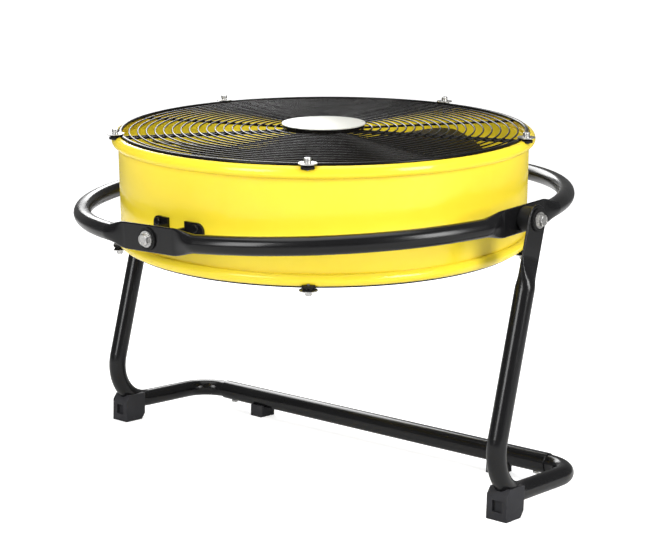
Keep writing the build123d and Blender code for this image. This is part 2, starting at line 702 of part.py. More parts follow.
def hoop(radius, wire_r):
    """Ring of a guard: flat-sided wire about Z, with a flat towards the spokes."""
    section = Rot(0, 0, 180 / WIRE_SIDES) * RegularPolygon(wire_r, WIRE_SIDES, major_radius=False)
    return revolve(Plane.XZ * (Pos(radius, GUARD_Z) * section), Axis.Z)


def double_spoke():
    """Hairpin of wire along X: two legs that rise over the drum's edge, and a loop for the screw."""
    knee = GUARD_R - RIM_WIRE_R
    over = DRUM_R + LIP_OUT - DRUM_SHEET
    end = LUG_R + LUG_LOOP_R
    there = [(SPOKE_START_R, SPOKE_Z), (knee, SPOKE_Z), (over, SPOKE_TOP_Z), (end, SPOKE_TOP_Z)]
    points = [(x, -LUG_LOOP_R, z) for x, z in there] + [(x, LUG_LOOP_R, z) for x, z in reversed(there)]
    loop = LUG_LOOP_R - FIT_GAP
    path = FilletPolyline(*points, radius=[KNEE_BEND_R, KNEE_BEND_R, loop, loop, KNEE_BEND_R, KNEE_BEND_R])
    return sweep(Plane(origin=path @ 0, z_dir=path % 0) * Circle(WIRE_R), path=path)


def single_spoke():
    """Straight spoke along X, from under the plate to the outermost ring."""
    return rod(WIRE_R, (SPOKE_START_R, 0, SPOKE_Z), (GUARD_R + WIRE_R, 0, SPOKE_Z))


def guard():
    """Concentric wires on double and single spokes, welded where they cross."""
    count = round((GUARD_R - FIRST_RING_R) / GUARD_PITCH)
    step = (GUARD_R - FIRST_RING_R) / count
    pieces = [hoop(FIRST_RING_R + step * i, WIRE_R) for i in range(count)]
    pieces.append(hoop(GUARD_R, RIM_WIRE_R))
    for i in range(LUGS):
        pieces.append(Rot(0, 0, LUG_ANGLE + 360 / LUGS * i) * double_spoke())
        pieces.append(Rot(0, 0, LUG_ANGLE + 360 / LUGS * (i + 0.5)) * single_spoke())
    return Part() + pieces


def plate_seat():
    """Underside of the plate, on top of its black ring."""
    return GUARD_Z + WIRE_R + PLATE_RISE


def hub_plate():
    """Bare domed plate over the middle of a guard, with a lip and a stud on its underside."""
    seat = plate_seat()
    low, shoulder = seat - PLATE_LIP, seat + PLATE_SHEET / 2
    top = shoulder + PLATE_DOME
    dome_r = (PLATE_R ** 2 + PLATE_DOME ** 2) / (2 * PLATE_DOME)
    half = asin(PLATE_R / dome_r) / 2
    middle = (dome_r * sin(half), top - dome_r * (1 - cos(half)))
    inner_r = PLATE_R - PLATE_SHEET
    outline = [
        Line((0, seat), (inner_r, seat)),
        Line((inner_r, seat), (inner_r, low)),
        Line((inner_r, low), (PLATE_R, low)),
        Line((PLATE_R, low), (PLATE_R, shoulder)),
        ThreePointArc((PLATE_R, shoulder), middle, (0, top)),
        Line((0, top), (0, seat)),
    ]
    plate = revolve(Plane.XZ * make_face(outline), Axis.Z)
    return plate + disc(STUD_R, backing_low() - STUD_NUT_H - STUD_END, shoulder)


def backing_low():
    """Underside of the disc below the spokes."""
    return SPOKE_Z - WIRE_R - BACKING_SHEET


def hub_backing():
    """Disc below the inner ends of the spokes, and the ring on the first wire that carries the plate."""
    ring_r = PLATE_R - PLATE_SHEET - FIT_GAP
    ring = disc(ring_r, plate_seat() - PLATE_RISE, plate_seat(), PLATE_RING_IN_R)
    return [disc(BACKING_R, backing_low(), backing_low() + BACKING_SHEET, STUD_R + FIT_GAP), ring]


def hub_nut():
    """Nut on the plate's stud."""
    return Pos(0, 0, backing_low()) * Rot(180, 0, 0) * hexagon(STUD_NUT_AF, 0, STUD_NUT_H, STUD_R)


# ---------------------------------------------------------------- motor

def mount_bar(side):
    """Flat bar across the drum with a tab turned up at each end, welded to the wall."""
    y = side * MOUNT_BAR_Y
    tray = disc(WALL_IN_R, MOUNT_BAR_Z, MOUNT_BAR_Z + MOUNT_BAR_T)
    tabs = disc(WALL_IN_R, MOUNT_BAR_Z, MOUNT_BAR_Z + MOUNT_TAB_H, WALL_IN_R - MOUNT_BAR_T)
    strip = Pos(0, y, MOUNT_BAR_Z + MOUNT_TAB_H / 2) * Box(2 * DRUM_R, MOUNT_BAR_W, MOUNT_TAB_H)
    bar = (tray + tabs) & strip
    for x in (-1, 1):
        hole = disc(MOUNT_BOLT_R + FIT_GAP, MOUNT_BAR_Z - THROUGH, MOTOR_Z + THROUGH)
        bar -= Pos(x * MOUNT_BAR_Y, y, 0) * hole
    return BOX_AT * bar


def mount_bolts():
    """Bolts from below through the mount bars into the motor's rear bell."""
    low = MOUNT_BAR_Z
    one = disc(MOUNT_BOLT_R, low, MOTOR_Z + BELL_WALL)
    head = Pos(0, 0, low) * Rot(180, 0, 0) * hexagon(MOUNT_BOLT_AF, 0, MOUNT_HEAD_H)
    spots = [(x, y) for x in (-MOUNT_BAR_Y, MOUNT_BAR_Y) for y in (-MOUNT_BAR_Y, MOUNT_BAR_Y)]
    return [BOX_AT * Pos(x, y, 0) * (one + head) for x, y in spots]


def bell(base, height, flip):
    """Cup-shaped end bell with a bearing seat and cooling slots. Its closed end is at the base."""
    past = height + THROUGH
    cup = disc(MOTOR_R, 0, height) - disc(MOTOR_R - BELL_WALL, BELL_WALL, past)
    lip = disc(MOTOR_R, height - BELL_WALL, height, STAY_PCD_R - STAY_LAND)
    seat = disc(BEARING_R + BEARING_SEAT_T, 0, BELL_WALL + BEARING_W / 2)
    body = cup + lip + seat - disc(BEARING_R, BELL_WALL, past) - disc(SHOULDER_R, -THROUGH, past)
    slot = Pos(BELL_SLOT_R, 0, 0) * extrude(SlotOverall(BELL_SLOT_L, BELL_SLOT_W), BELL_WALL + THROUGH)
    for i in range(BELL_SLOTS):
        body -= Rot(0, 0, 360 / BELL_SLOTS * (i + 0.5)) * slot
    body -= [place * disc(STAY_R + FIT_GAP, -THROUGH, past) for place in stay_places()]
    return Pos(0, 0, base) * (Rot(180, 0, 0) * body if flip else body)


def stay_places():
    """Places of the long bolts round the motor."""
    return [Rot(0, 0, 90 * i) * Pos(STAY_PCD_R, 0, 0) for i in range(4)]


def rear_bell():
    """Lower bell, drilled for the bolts from the mount bars."""
    body = bell(MOTOR_Z, REAR_BELL_H, False)
    hole = disc(MOUNT_BOLT_R + FIT_GAP, MOTOR_Z - THROUGH, MOTOR_Z + BELL_WALL + THROUGH)
    for x in (-MOUNT_BAR_Y, MOUNT_BAR_Y):
        for y in (-MOUNT_BAR_Y, MOUNT_BAR_Y):
            body -= Pos(x, y, 0) * hole
    return BOX_AT * (body - lead_rod(LEAD_R + FIT_GAP, lead_start() - THROUGH, MOTOR_R + THROUGH))


def front_bell():
    """Upper bell."""
    return BOX_AT * bell(MOTOR_TOP, FRONT_BELL_H, True)


def stator():
    """Ring of laminations between the two bells."""
    ring = disc(MOTOR_R - STATOR_INSET, STATOR_Z, FRONT_BELL_Z, STATOR_IN_R)
    hole = disc(STAY_R + FIT_GAP, STATOR_Z - THROUGH, FRONT_BELL_Z + THROUGH)
    return BOX_AT * (ring - [place * hole for place in stay_places()])


def windings():
    """End turns above and below the laminations."""
    low, high = STATOR_Z - WINDING_OVER, FRONT_BELL_Z + WINDING_OVER
    lower = disc(WINDING_OUT_R, low, STATOR_Z, WINDING_IN_R)
    upper = disc(WINDING_OUT_R, FRONT_BELL_Z, high, WINDING_IN_R)
    return [fillet(lower.edges().group_by(Axis.Z)[0], WINDING_ROUND),
            fillet(upper.edges().group_by(Axis.Z)[-1], WINDING_ROUND)]


def stays():
    """Long bolts that hold the bells together."""
    one = disc(STAY_R, MOTOR_Z, MOTOR_TOP) + disc(STAY_HEAD_R, MOTOR_TOP, MOTOR_TOP + STAY_HEAD_H)
    return [BOX_AT * place * one for place in stay_places()]


def bearing_span(which):
    """Lower and upper end of a bearing."""
    if which == "rear":
        return MOTOR_Z + BELL_WALL, MOTOR_Z + BELL_WALL + BEARING_W
    return MOTOR_TOP - BELL_WALL - BEARING_W, MOTOR_TOP - BELL_WALL


def bearings():
    """Two ball bearings as closed rings."""
    rings = []
    for which in ("rear", "front"):
        z0, z1 = bearing_span(which)
        ring = disc(BEARING_R, z0, z1, SHAFT_R + PIN_GAP)
        rims = ring.edges().filter_by(GeomType.CIRCLE).filter_by(lambda e: e.radius > SHOULDER_R)
        rings.append(chamfer(rims, BEARING_CHAMFER))
    return rings


def shaft():
    """Motor shaft, with a shoulder inside each bearing."""
    low = bearing_span("rear")[0] + SEAT_GAP
    rear_top, front_low = bearing_span("rear")[1] + SEAT_GAP, bearing_span("front")[0] - SEAT_GAP
    body = disc(SHAFT_R, low, MOTOR_TOP + SHAFT_OVER) + disc(SHOULDER_R, rear_top, front_low)
    return chamfer(body.edges().group_by(Axis.Z)[-1], SHAFT_CHAMFER)


def rotor():
    """Rotor core with its end rings, on the shaft's thick part."""
    low, high = STATOR_Z + ROTOR_INSET, FRONT_BELL_Z - ROTOR_INSET
    core = disc(ROTOR_R, low, high, SHOULDER_R)
    ends = disc(ROTOR_END_R, low - ROTOR_END_H, high + ROTOR_END_H, SHOULDER_R)
    return core + ends


# ---------------------------------------------------------------- fan

def fan_base():
    """Height of the fan hub's underside."""
    return MOTOR_TOP + HUB_BASE


def blade_strip(inner_r, outer_r, low, thick):
    """Curved strip along X, pitched about it, from one radius to another."""
    mid_r = BLADE_CAMBER_R + low
    ring = Circle(mid_r + thick) - Circle(mid_r)
    tube = Plane.YZ * (Pos(0, -BLADE_CAMBER_R) * ring)
    strip = Pos(inner_r, 0, 0) * extrude(tube, outer_r - inner_r)
    upper = Pos((inner_r + outer_r) / 2, 0, 0) * Box(outer_r, 2 * BLADE_CHORD, BLADE_CAMBER_R)
    return Pos(0, 0, blade_height()) * Rot(BLADE_PITCH, 0, 0) * (strip & upper)


def blade_height():
    """Height of the blades' pitch axis."""
    return fan_base() + BLADE_Z


def blade():
    """One paddle: narrow root, wide tip with round corners."""
    tip_x = sqrt(FAN_R ** 2 - (BLADE_CHORD / 2) ** 2)
    outline = make_face(Polyline(
        (BLADE_ROOT_R, -BLADE_ROOT_W / 2), (tip_x, -BLADE_CHORD / 2), (tip_x, BLADE_CHORD / 2),
        (BLADE_ROOT_R, BLADE_ROOT_W / 2), close=True))
    outline = fillet(outline.vertices(), BLADE_CORNER_R)
    prism = Pos(0, 0, blade_height() - BLADE_CHORD) * extrude(outline, 2 * BLADE_CHORD)
    body = blade_strip(BLADE_ROOT_R, FAN_R, 0, BLADE_T) & prism
    return body - rivets(FIT_GAP)


def arm():
    """Arm of the spider, lying against the underside of a blade."""
    outline = Pos(ARM_END_R / 2, 0) * SlotOverall(ARM_END_R + ARM_W, ARM_W)
    prism = Pos(0, 0, blade_height() - BLADE_CHORD) * extrude(outline, 2 * BLADE_CHORD)
    body = blade_strip(0, ARM_END_R + ARM_W, -ARM_T, ARM_T) & prism
    return body - rivets(FIT_GAP)


def rivets(gap=0.0):
    """Rivets through an arm and its blade, square to the blade."""
    pieces = []
    for i in range(2):
        at = Pos(RIVET_FIRST_R + RIVET_STEP * i, 0, blade_height()) * Rot(BLADE_PITCH, 0, 0)
        if gap:
            pieces.append(at * disc(RIVET_R + gap, -3 * ARM_T, 3 * ARM_T))
            continue
        shank = disc(RIVET_R, -ARM_T - RIVET_HEAD_H / 2, BLADE_T + RIVET_HEAD_H / 2)
        under = -ARM_T - FIT_GAP
        caps = [disc(RIVET_HEAD_R, base, base + RIVET_HEAD_H) for base in (under - RIVET_HEAD_H, BLADE_T)]
        pieces.append(at * (shank + caps))
    return pieces


def spider():
    """Plate with an arm for each blade, clamped on the hub."""
    top = blade_height()
    body = disc(SPIDER_R, top - SPIDER_T, top) + [Rot(0, 0, turn) * arm() for turn in blade_turns()]
    return body - disc(HUB_R, -DRUM_DEPTH, DRUM_DEPTH)


def blade_turns():
    """Directions of the blades."""
    return [AXLE_ANGLE + 360 / BLADES * (i + 0.5) for i in range(BLADES)]


def fan_hub():
    """Hub on the shaft, with a flange under the spider."""
    low, top = fan_base(), fan_base() + HUB_H
    body = disc(HUB_R, low, top)
    body = chamfer(body.edges().group_by(Axis.Z)[-1], HUB_CHAMFER)
    return body - disc(SHAFT_R, low - THROUGH, top + THROUGH) - grub_screw(FIT_GAP)


def grub_screw(gap=0.0):
    """Set screw through the hub's side onto the shaft."""
    z = fan_base() + GRUB_UP
    end = HUB_R + THROUGH if gap else HUB_R - GRUB_INSET
    return BOX_AT * rod(GRUB_R + gap, (SHAFT_R, 0, z), (end, 0, z))


# ---------------------------------------------------------------- control box and lead

def box_block(inset, back_r):
    """Rounded block on the wall, made smaller by an inset, with its middle towards +X."""
    face_r = BOX_FACE_R - inset
    size = RectangleRounded(BOX_W - 2 * inset, BOX_H - 2 * inset, BOX_CORNER_R - inset)
    sunk = back_r - BOX_SINK
    block = Pos(sunk, 0, BOX_MID_Z) * Plane.YZ.location * extrude(size, face_r - sunk)
    return block - disc(back_r, -DRUM_DEPTH, DRUM_DEPTH)


def box_screw_places():
    """Places of the four screws on the box's face, local Z outwards."""
    y, z = BOX_W / 2 - BOX_SCREW_INSET, BOX_H / 2 - BOX_SCREW_INSET
    return [Pos(0, sy * y, BOX_MID_Z + sz * z) * Rot(0, 90, 0) for sy in (-1, 1) for sz in (-1, 1)]


def control_box():
    """Plastic box, open to the drum's wall, with screw posts, a knob hole and a cable inlet."""
    body = box_block(0, DRUM_R) - box_block(BOX_WALL, DRUM_R - THROUGH)
    wall = disc(DRUM_R, -DRUM_DEPTH, DRUM_DEPTH)
    post = disc(BOX_POST_R, DRUM_R - BOX_SINK, BOX_FACE_R - BOX_WALL / 2)
    hole = disc(BOX_SCREW_R + FIT_GAP, 0, BOX_FACE_R + THROUGH)
    body = body + [place * post - wall for place in box_screw_places()]
    body -= [place * hole for place in box_screw_places()]
    body -= knob_at() * disc(KNOB_SHAFT_R + PIN_GAP, BOX_FACE_R - 2 * BOX_WALL, BOX_FACE_R + THROUGH)
    body -= gland_at() * disc(GLAND_R + FIT_GAP, -BOX_WALL - THROUGH, THROUGH)
    return BOX_AT * body


def box_screws():
    """Screws through the box's posts into the wall."""
    one = disc(BOX_SCREW_R, WALL_IN_R - BOX_SCREW_IN, BOX_FACE_R)
    one += disc(BOX_SCREW_HEAD_R, BOX_FACE_R, BOX_FACE_R + BOX_SCREW_HEAD_H)
    return [BOX_AT * place * one for place in box_screw_places()]


def box_screw_holes():
    """Holes in the wall for the box's screws."""
    hole = disc(BOX_SCREW_R + FIT_GAP, WALL_IN_R - 2 * BOX_SCREW_IN, DRUM_R + THROUGH)
    return [BOX_AT * place * hole for place in box_screw_places()]


def knob_at():
    """Frame on the knob's axis, local Z outwards from the drum's axis."""
    return Pos(0, KNOB_X, BOX_MID_Z) * Rot(0, 90, 0)


def speed_knob():
    """Turning knob with a raised pointer and its shaft."""
    low = BOX_FACE_R + 2 * SEAT_GAP
    body = disc(KNOB_R, low, low + KNOB_H)
    body = chamfer(body.edges().group_by(Axis.Z)[-1], KNOB_CHAMFER)
    pointer_z = low + KNOB_H + POINTER_H / 2 - POINTER_SINK
    pointer = Pos(KNOB_R / 2, 0, pointer_z) * Box(POINTER_L, POINTER_W, POINTER_H)
    stem = disc(KNOB_SHAFT_R, BOX_FACE_R - BOX_WALL - SWITCH_D / 2, low + THROUGH)
    return BOX_AT * knob_at() * (body + pointer + stem)


def speed_switch():
    """Rotary switch behind the box's face, with a bore for the knob's shaft."""
    top = BOX_FACE_R - BOX_WALL
    body = Pos(0, 0, top - SWITCH_D / 2) * Box(SWITCH_H, SWITCH_W, SWITCH_D)
    body -= disc(KNOB_SHAFT_R + PIN_GAP, top - SWITCH_D / 2 - SEAT_GAP, top + THROUGH)
    return BOX_AT * knob_at() * body


def capacitor():
    """Run capacitor behind the box's face, beside the switch."""
    top = BOX_FACE_R - BOX_WALL
    body = Pos(top - CAPACITOR_D / 2, -KNOB_X, BOX_MID_Z) * Box(CAPACITOR_D, CAPACITOR_W, CAPACITOR_H)
    return BOX_AT * body


def gland_at():
    """Frame at the cable inlet in the box's underside, local Z downwards."""
    return Pos((DRUM_R + BOX_FACE_R) / 2, KNOB_X, BOX_Z0) * Rot(180, 0, 0)


def cable_gland():
    """Threaded inlet for a supply cable, held by a hexagon outside the box."""
    inner = -BOX_WALL - GLAND_IN
    body = disc(GLAND_R, inner, GLAND_L) + hexagon(GLAND_NUT_AF, SEAT_GAP, GLAND_NUT_H)
    body -= disc(GLAND_BORE_R, inner - THROUGH, GLAND_L + THROUGH)
    return BOX_AT * gland_at() * body


def lead_low():
    """Height of the lead's first run, which lies in clips on a mount bar."""
    return MOTOR_Z + LEAD_R + CLIP_T


def lead_rod(radius, x0, x1):
    """Bar along the lead's first run."""
    return rod(radius, (x0, LEAD_Y, lead_low()), (x1, LEAD_Y, lead_low()))


def lead_start():
    """Where the lead begins, inside the motor's wall."""
    return sqrt((MOTOR_R - BELL_WALL / 2) ** 2 - LEAD_Y ** 2)


def motor_lead():
    """Round lead from the motor along a mount bar, up in a gentle rise and out through the wall."""
    low, end = lead_low(), DRUM_R + LEAD_IN
    route = [(lead_start(), low), (LEAD_RISE_X, low), (LEAD_LEVEL_X, LEAD_EXIT_Z), (end, LEAD_EXIT_Z)]
    path = FilletPolyline(*[(x, LEAD_Y, z) for x, z in route], radius=[LEAD_BEND_R, LEAD_BEND_R])
    return BOX_AT * sweep(Plane(origin=path @ 0, z_dir=path % 0) * Circle(LEAD_R), path=path)


def lead_clips():
    """Two rings on the mount bar that hold the lead."""
    rings = [lead_rod(LEAD_R + CLIP_T, x, x + CLIP_W) - lead_rod(LEAD_R, x - THROUGH, x + CLIP_W + THROUGH)
             for x in CLIP_X]
    return [BOX_AT * ring for ring in rings]


def lead_hole(radius, reach=4 * DRUM_SHEET):
    """Round bar through the wall at the lead's exit, as long as the reach on each side of it."""
    x = sqrt(WALL_IN_R ** 2 - LEAD_Y ** 2)
    return BOX_AT * rod(radius, (x - reach, LEAD_Y, LEAD_EXIT_Z), (x + reach, LEAD_Y, LEAD_EXIT_Z))


def lead_grommet():
    """Rubber sleeve round the lead in the wall's hole."""
    return lead_hole(LEAD_R + GROMMET_WALL, 2 * DRUM_SHEET) - lead_hole(LEAD_R)


# ---------------------------------------------------------------- write the nodes

def save(name, shapes, place=None):
    """Move a node's shapes to their place and write them to one file."""
    shapes = shapes if isinstance(shapes, (list, tuple)) else [shapes]
    found = [solid for shape in shapes for solid in shape.solids()]
    solids = [place * solid for solid in found] if place is not None else found
    node = Compound(children=solids) if len(solids) > 1 else solids[0]
    node.label = name
    export_step(node, f"parts/{name}.step")


def save_base():
    """Legs, cross bar, feet and the hardware of the leg pivots."""
    for side, word in ((-1, "left"), (1, "right")):
        save(f"{word}_leg", leg(side))
        save(f"front_foot_{word}", toe_foot(side))
        save(f"rear_foot_{word}", heel_foot(side))
    save("cross_bar", cross_bar())
    save("cross_bar_screws", [bar_screw(-1), bar_screw(1)])
    save("foot_screws", [foot_screw(side, which) for side in (-1, 1) for which in ("toe", "heel")])
    save("leg_pivot_bolts", at_legs(pivot_bolt(LEG_OUT, LEG_SEAT)))
    save("leg_pivot_collars", at_legs(pivot_collar(LEG_OUT)))
    save("leg_pivot_washers", at_legs(*pivot_washers(LEG_OUT, LEG_SEAT)))
    save("leg_pivot_spacers", at_legs(disc(SPACER_R, RING_OUT + SEAT_GAP, LEG_IN, SPACER_BORE_R)))
    save("leg_pivot_nuts", at_legs(pivot_nut(LEG_SEAT)))


def save_ring():
    """Ring and the hardware of the drum pivots."""
    save("tilt_ring", tilt_ring(), RING_AT)
    save("drum_pivot_bolts", at_drum(pivot_bolt(RING_OUT, DRUM_SEAT)))
    save("drum_pivot_collars", at_drum(pivot_collar(RING_OUT)))
    save("drum_pivot_washers", at_drum(*pivot_washers(RING_OUT, DRUM_SEAT)))
    save("drum_pivot_spacers", at_drum(disc(DRUM_SPACER_R, DRUM_SPACER_IN, RING_IN, SPACER_BORE_R)))
    save("drum_pivot_nuts", at_drum(pivot_nut(DRUM_SEAT)))


def save_drum():
    """Drum, brackets and guards."""
    save("drum_shell", drum_shell(), DRUM_AT)
    save("front_bracket", placed_bracket(FRONT), DRUM_AT)
    save("rear_bracket", placed_bracket(REAR), DRUM_AT)
    save("bracket_screws", at_ears(ear_screw(), FRONT) + at_ears(ear_screw(), REAR), DRUM_AT)
    mesh = guard()
    for side, word in ((1, "front"), (-1, "rear")):
        save(f"{word}_guard", mesh if side > 0 else mirror(mesh, Plane.XY), DRUM_AT)
        save(f"{word}_hub_plate", turned_over(side) * hub_plate(), DRUM_AT)
        save(f"{word}_hub_backing", [turned_over(side) * shape for shape in hub_backing()], DRUM_AT)
    save("hub_nuts", [turned_over(side) * hub_nut() for side in (1, -1)], DRUM_AT)
    save("guard_screws", at_lugs(lug_screw()), DRUM_AT)
    save("guard_washers", at_lugs(lug_washer()), DRUM_AT)
    save("guard_grommets", at_lugs(lug_grommet()), DRUM_AT)


def at_lugs(shape):
    """Copies of a shape at every guard screw, front and rear."""
    return [lug * shape for lug in lug_frames()] + [mirror(lug * shape, Plane.XY) for lug in lug_frames()]


def save_motor():
    """Motor with its bars and bolts."""
    save("motor_mount_bars", [mount_bar(-1), mount_bar(1)], DRUM_AT)
    save("motor_mount_bolts", mount_bolts(), DRUM_AT)
    save("motor_rear_bell", rear_bell(), DRUM_AT)
    save("motor_stator", stator(), DRUM_AT)
    save("motor_windings", windings(), DRUM_AT)
    save("motor_front_bell", front_bell(), DRUM_AT)
    save("motor_bearings", bearings(), DRUM_AT)
    save("motor_stay_bolts", stays(), DRUM_AT)
    save("motor_shaft", shaft(), DRUM_AT)
    save("motor_rotor", rotor(), DRUM_AT)


def save_fan():
    """Hub, spider, blades and rivets."""
    save("fan_hub", fan_hub(), DRUM_AT)
    save("hub_set_screw", grub_screw(), DRUM_AT)
    save("fan_spider", spider(), DRUM_AT)
    for number, turn in enumerate(blade_turns(), 1):
        save(f"fan_blade_{number}", Rot(0, 0, turn) * blade(), DRUM_AT)
    save("blade_rivets", [Rot(0, 0, turn) * one for turn in blade_turns() for one in rivets()], DRUM_AT)


def save_controls():
    """Control box and what is in and on it."""
    save("control_box", control_box(), DRUM_AT)
    save("control_box_screws", box_screws(), DRUM_AT)
    save("speed_knob", speed_knob(), DRUM_AT)
    save("speed_switch", speed_switch(), DRUM_AT)
    save("run_capacitor", capacitor(), DRUM_AT)
    save("cable_gland", cable_gland(), DRUM_AT)
    save("motor_lead", motor_lead(), DRUM_AT)
    save("lead_clips", lead_clips(), DRUM_AT)
    save("lead_grommet", lead_grommet(), DRUM_AT)


os.makedirs("parts", exist_ok=True)
save_base()
save_ring()
save_drum()
save_motor()
save_fan()
save_controls()
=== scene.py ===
import bpy
import json
from math import atan2, cos, pi, radians, sin, tan
from mathutils import Matrix, Vector


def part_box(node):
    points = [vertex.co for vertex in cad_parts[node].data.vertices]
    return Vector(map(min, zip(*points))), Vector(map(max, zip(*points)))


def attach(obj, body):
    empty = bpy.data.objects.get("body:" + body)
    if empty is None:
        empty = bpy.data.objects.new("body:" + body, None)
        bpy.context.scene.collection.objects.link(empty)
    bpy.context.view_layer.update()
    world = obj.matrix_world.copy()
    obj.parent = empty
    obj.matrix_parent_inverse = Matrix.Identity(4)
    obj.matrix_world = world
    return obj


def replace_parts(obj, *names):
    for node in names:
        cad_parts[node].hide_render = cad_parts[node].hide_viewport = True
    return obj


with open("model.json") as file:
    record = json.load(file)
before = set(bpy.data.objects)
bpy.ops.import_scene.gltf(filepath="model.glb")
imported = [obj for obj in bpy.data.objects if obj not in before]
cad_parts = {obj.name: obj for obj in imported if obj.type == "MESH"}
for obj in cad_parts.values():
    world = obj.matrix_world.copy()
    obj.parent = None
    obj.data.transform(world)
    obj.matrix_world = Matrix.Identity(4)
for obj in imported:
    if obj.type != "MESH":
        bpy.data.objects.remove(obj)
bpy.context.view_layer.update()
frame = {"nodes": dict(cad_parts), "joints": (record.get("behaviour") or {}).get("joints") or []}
nodes = frame["nodes"]


# ------------------------------------------------------------------ floor, backdrop, lamps, camera
# The fan stands in a white photographic room: a matt white floor, a white wall far behind it, and
# large soft lamps. None of it belongs to the fan.

ROOM_SIZE = 40.0
WALL_FAR = 12.0         # from the fan to the wall behind it
WALL_LEFT, WALL_BACK = 0.65, 0.76   # direction of the wall, straight away from the camera
ROOM_WHITE = 0.8
ROOM_ROUGH = 0.9
NEAR_LIFT = 0.64        # what the floor adds of itself by the fan, so that it shows as white
FAR_LIFT = 1.0          # the same for the wall and the far floor, which the lamps hardly reach
NEAR, FAR = 0.7, 3.5    # metres from the fan between which the lift grows
DIM_ROOM = 0.22         # light from all round; past the wall the camera sees plain white instead


def add_node(tree, kind, feeds=None, **settings):
    """New node. Feeds gives sockets their value or the output that they are linked to."""
    made = tree.nodes.new("ShaderNode" + kind)
    for key, value in settings.items():
        setattr(made, key, value)
    for socket, feed in (feeds or {}).items():
        if isinstance(feed, bpy.types.NodeSocket):
            tree.links.new(feed, made.inputs[socket])
        else:
            made.inputs[socket].default_value = feed
    return made


def room_surface(name, near_lift):
    """Matt white that lifts itself to plain white where the camera sees it, and still takes shadows."""
    made = bpy.data.materials.new(name)
    made.use_nodes = True
    tree = made.node_tree
    surface = tree.nodes["Principled BSDF"]
    surface.inputs["Base Color"].default_value = (ROOM_WHITE, ROOM_WHITE, ROOM_WHITE, 1)
    surface.inputs["Roughness"].default_value = ROOM_ROUGH
    surface.inputs["Specular IOR Level"].default_value = 0.0
    surface.inputs["Emission Color"].default_value = (1, 1, 1, 1)
    at = add_node(tree, "TexCoord").outputs["Object"]
    away = add_node(tree, "VectorMath", {0: at}, operation="LENGTH")
    lift = add_node(tree, "MapRange", {"Value": away.outputs["Value"], "From Min": NEAR, "From Max": FAR,
                                       "To Min": near_lift, "To Max": FAR_LIFT})
    seen = add_node(tree, "LightPath").outputs["Is Camera Ray"]
    lifted = add_node(tree, "Math", {0: lift.outputs["Result"], 1: seen}, operation="MULTIPLY")
    tree.links.new(lifted.outputs["Value"], surface.inputs["Emission Strength"])
    return made


bpy.ops.object.select_all(action="DESELECT")
bpy.ops.mesh.primitive_plane_add(size=ROOM_SIZE, location=(0, 0, 0))
floor = bpy.context.active_object
floor.name = "white_floor"
floor.data.materials.append(room_surface("white_floor", NEAR_LIFT))

bpy.ops.mesh.primitive_plane_add(size=ROOM_SIZE, location=(-WALL_FAR * WALL_LEFT, WALL_FAR * WALL_BACK, 0),
                                 rotation=(pi / 2, 0, atan2(WALL_LEFT, WALL_BACK)))
wall = bpy.context.active_object
wall.name = "white_wall"
wall.data.materials.append(room_surface("white_wall", FAR_LIFT))

room = bpy.data.worlds.new("room")
bpy.context.scene.world = room
room.use_nodes = True
air = room.node_tree.nodes["Background"]
air.inputs["Color"].default_value = (1, 1, 1, 1)
seen = add_node(room.node_tree, "LightPath").outputs["Is Camera Ray"]
white_or_dim = add_node(room.node_tree, "Math", {0: DIM_ROOM, 1: seen}, operation="MAXIMUM")
room.node_tree.links.new(white_or_dim.outputs["Value"], air.inputs["Strength"])

LAMPS = {   # place, width and height in metres, watts
    "lamp_overhead": ((-0.1, -0.2, 2.6), (1.8, 1.8), 24),
    "lamp_front": ((0.15, -2.5, 1.35), (0.9, 1.6), 44),
    "lamp_right": ((2.5, -0.1, 1.3), (0.8, 1.6), 58),
    "lamp_behind": ((-1.9, 1.2, 1.7), (1.3, 1.3), 46),
}
LAMP_AIM = Vector((0, 0, 0.35))

for name, (place, size, watts) in LAMPS.items():
    lamp = bpy.data.lights.new(name, "AREA")
    lamp.shape = "RECTANGLE"
    lamp.size, lamp.size_y = size
    lamp.energy = watts
    stand = bpy.data.objects.new(name, lamp)
    stand.location = place
    stand.rotation_euler = (LAMP_AIM - Vector(place)).to_track_quat("-Z", "Y").to_euler()
    bpy.context.scene.collection.objects.link(stand)

# The camera was fitted to edges measured in the photograph.
CAMERA_AT = Vector((1.3007, -1.5099, 0.5482))
CAMERA_BACK = Vector((0.6414, -0.7528, 0.1480)).normalized()
CAMERA_UP = Vector((-0.1167, 0.0949, 0.9886))
CAMERA_LENS = 83.09     # millimetres, as the sensor's width is
SENSOR = 36.0

lens = bpy.data.cameras.new("camera")
lens.lens = CAMERA_LENS
lens.sensor_width = SENSOR
camera = bpy.data.objects.new("camera", lens)
across = CAMERA_UP.cross(CAMERA_BACK).normalized()
upright = CAMERA_BACK.cross(across)
camera.matrix_world = (Matrix.Translation(CAMERA_AT)
                       @ Matrix((across, upright, CAMERA_BACK)).transposed().to_4x4())
bpy.context.scene.collection.objects.link(camera)
bpy.context.scene.camera = camera
bpy.context.scene.view_settings.view_transform = "Standard"


# ------------------------------------------------------------------ legs, cross bar and ring
# Steel tube, bent and pressed flat at the pivots, then powder coated semi-gloss black. The coat has
# a fine orange peel, drifts a little in gloss, and is rubbed thin on its sharpest edges.

def effect(name, inputs, outputs):
    """Node group with named number inputs, and its two end nodes."""
    group = bpy.data.node_groups.new(name, "ShaderNodeTree")
    for label, value in inputs.items():
        socket = group.interface.new_socket(label, in_out="INPUT", socket_type="NodeSocketFloat")
        socket.default_value = value
    for label in outputs:
        group.interface.new_socket(label, in_out="OUTPUT", socket_type="NodeSocketFloat")
    return group, group.nodes.new("NodeGroupInput"), group.nodes.new("NodeGroupOutput")


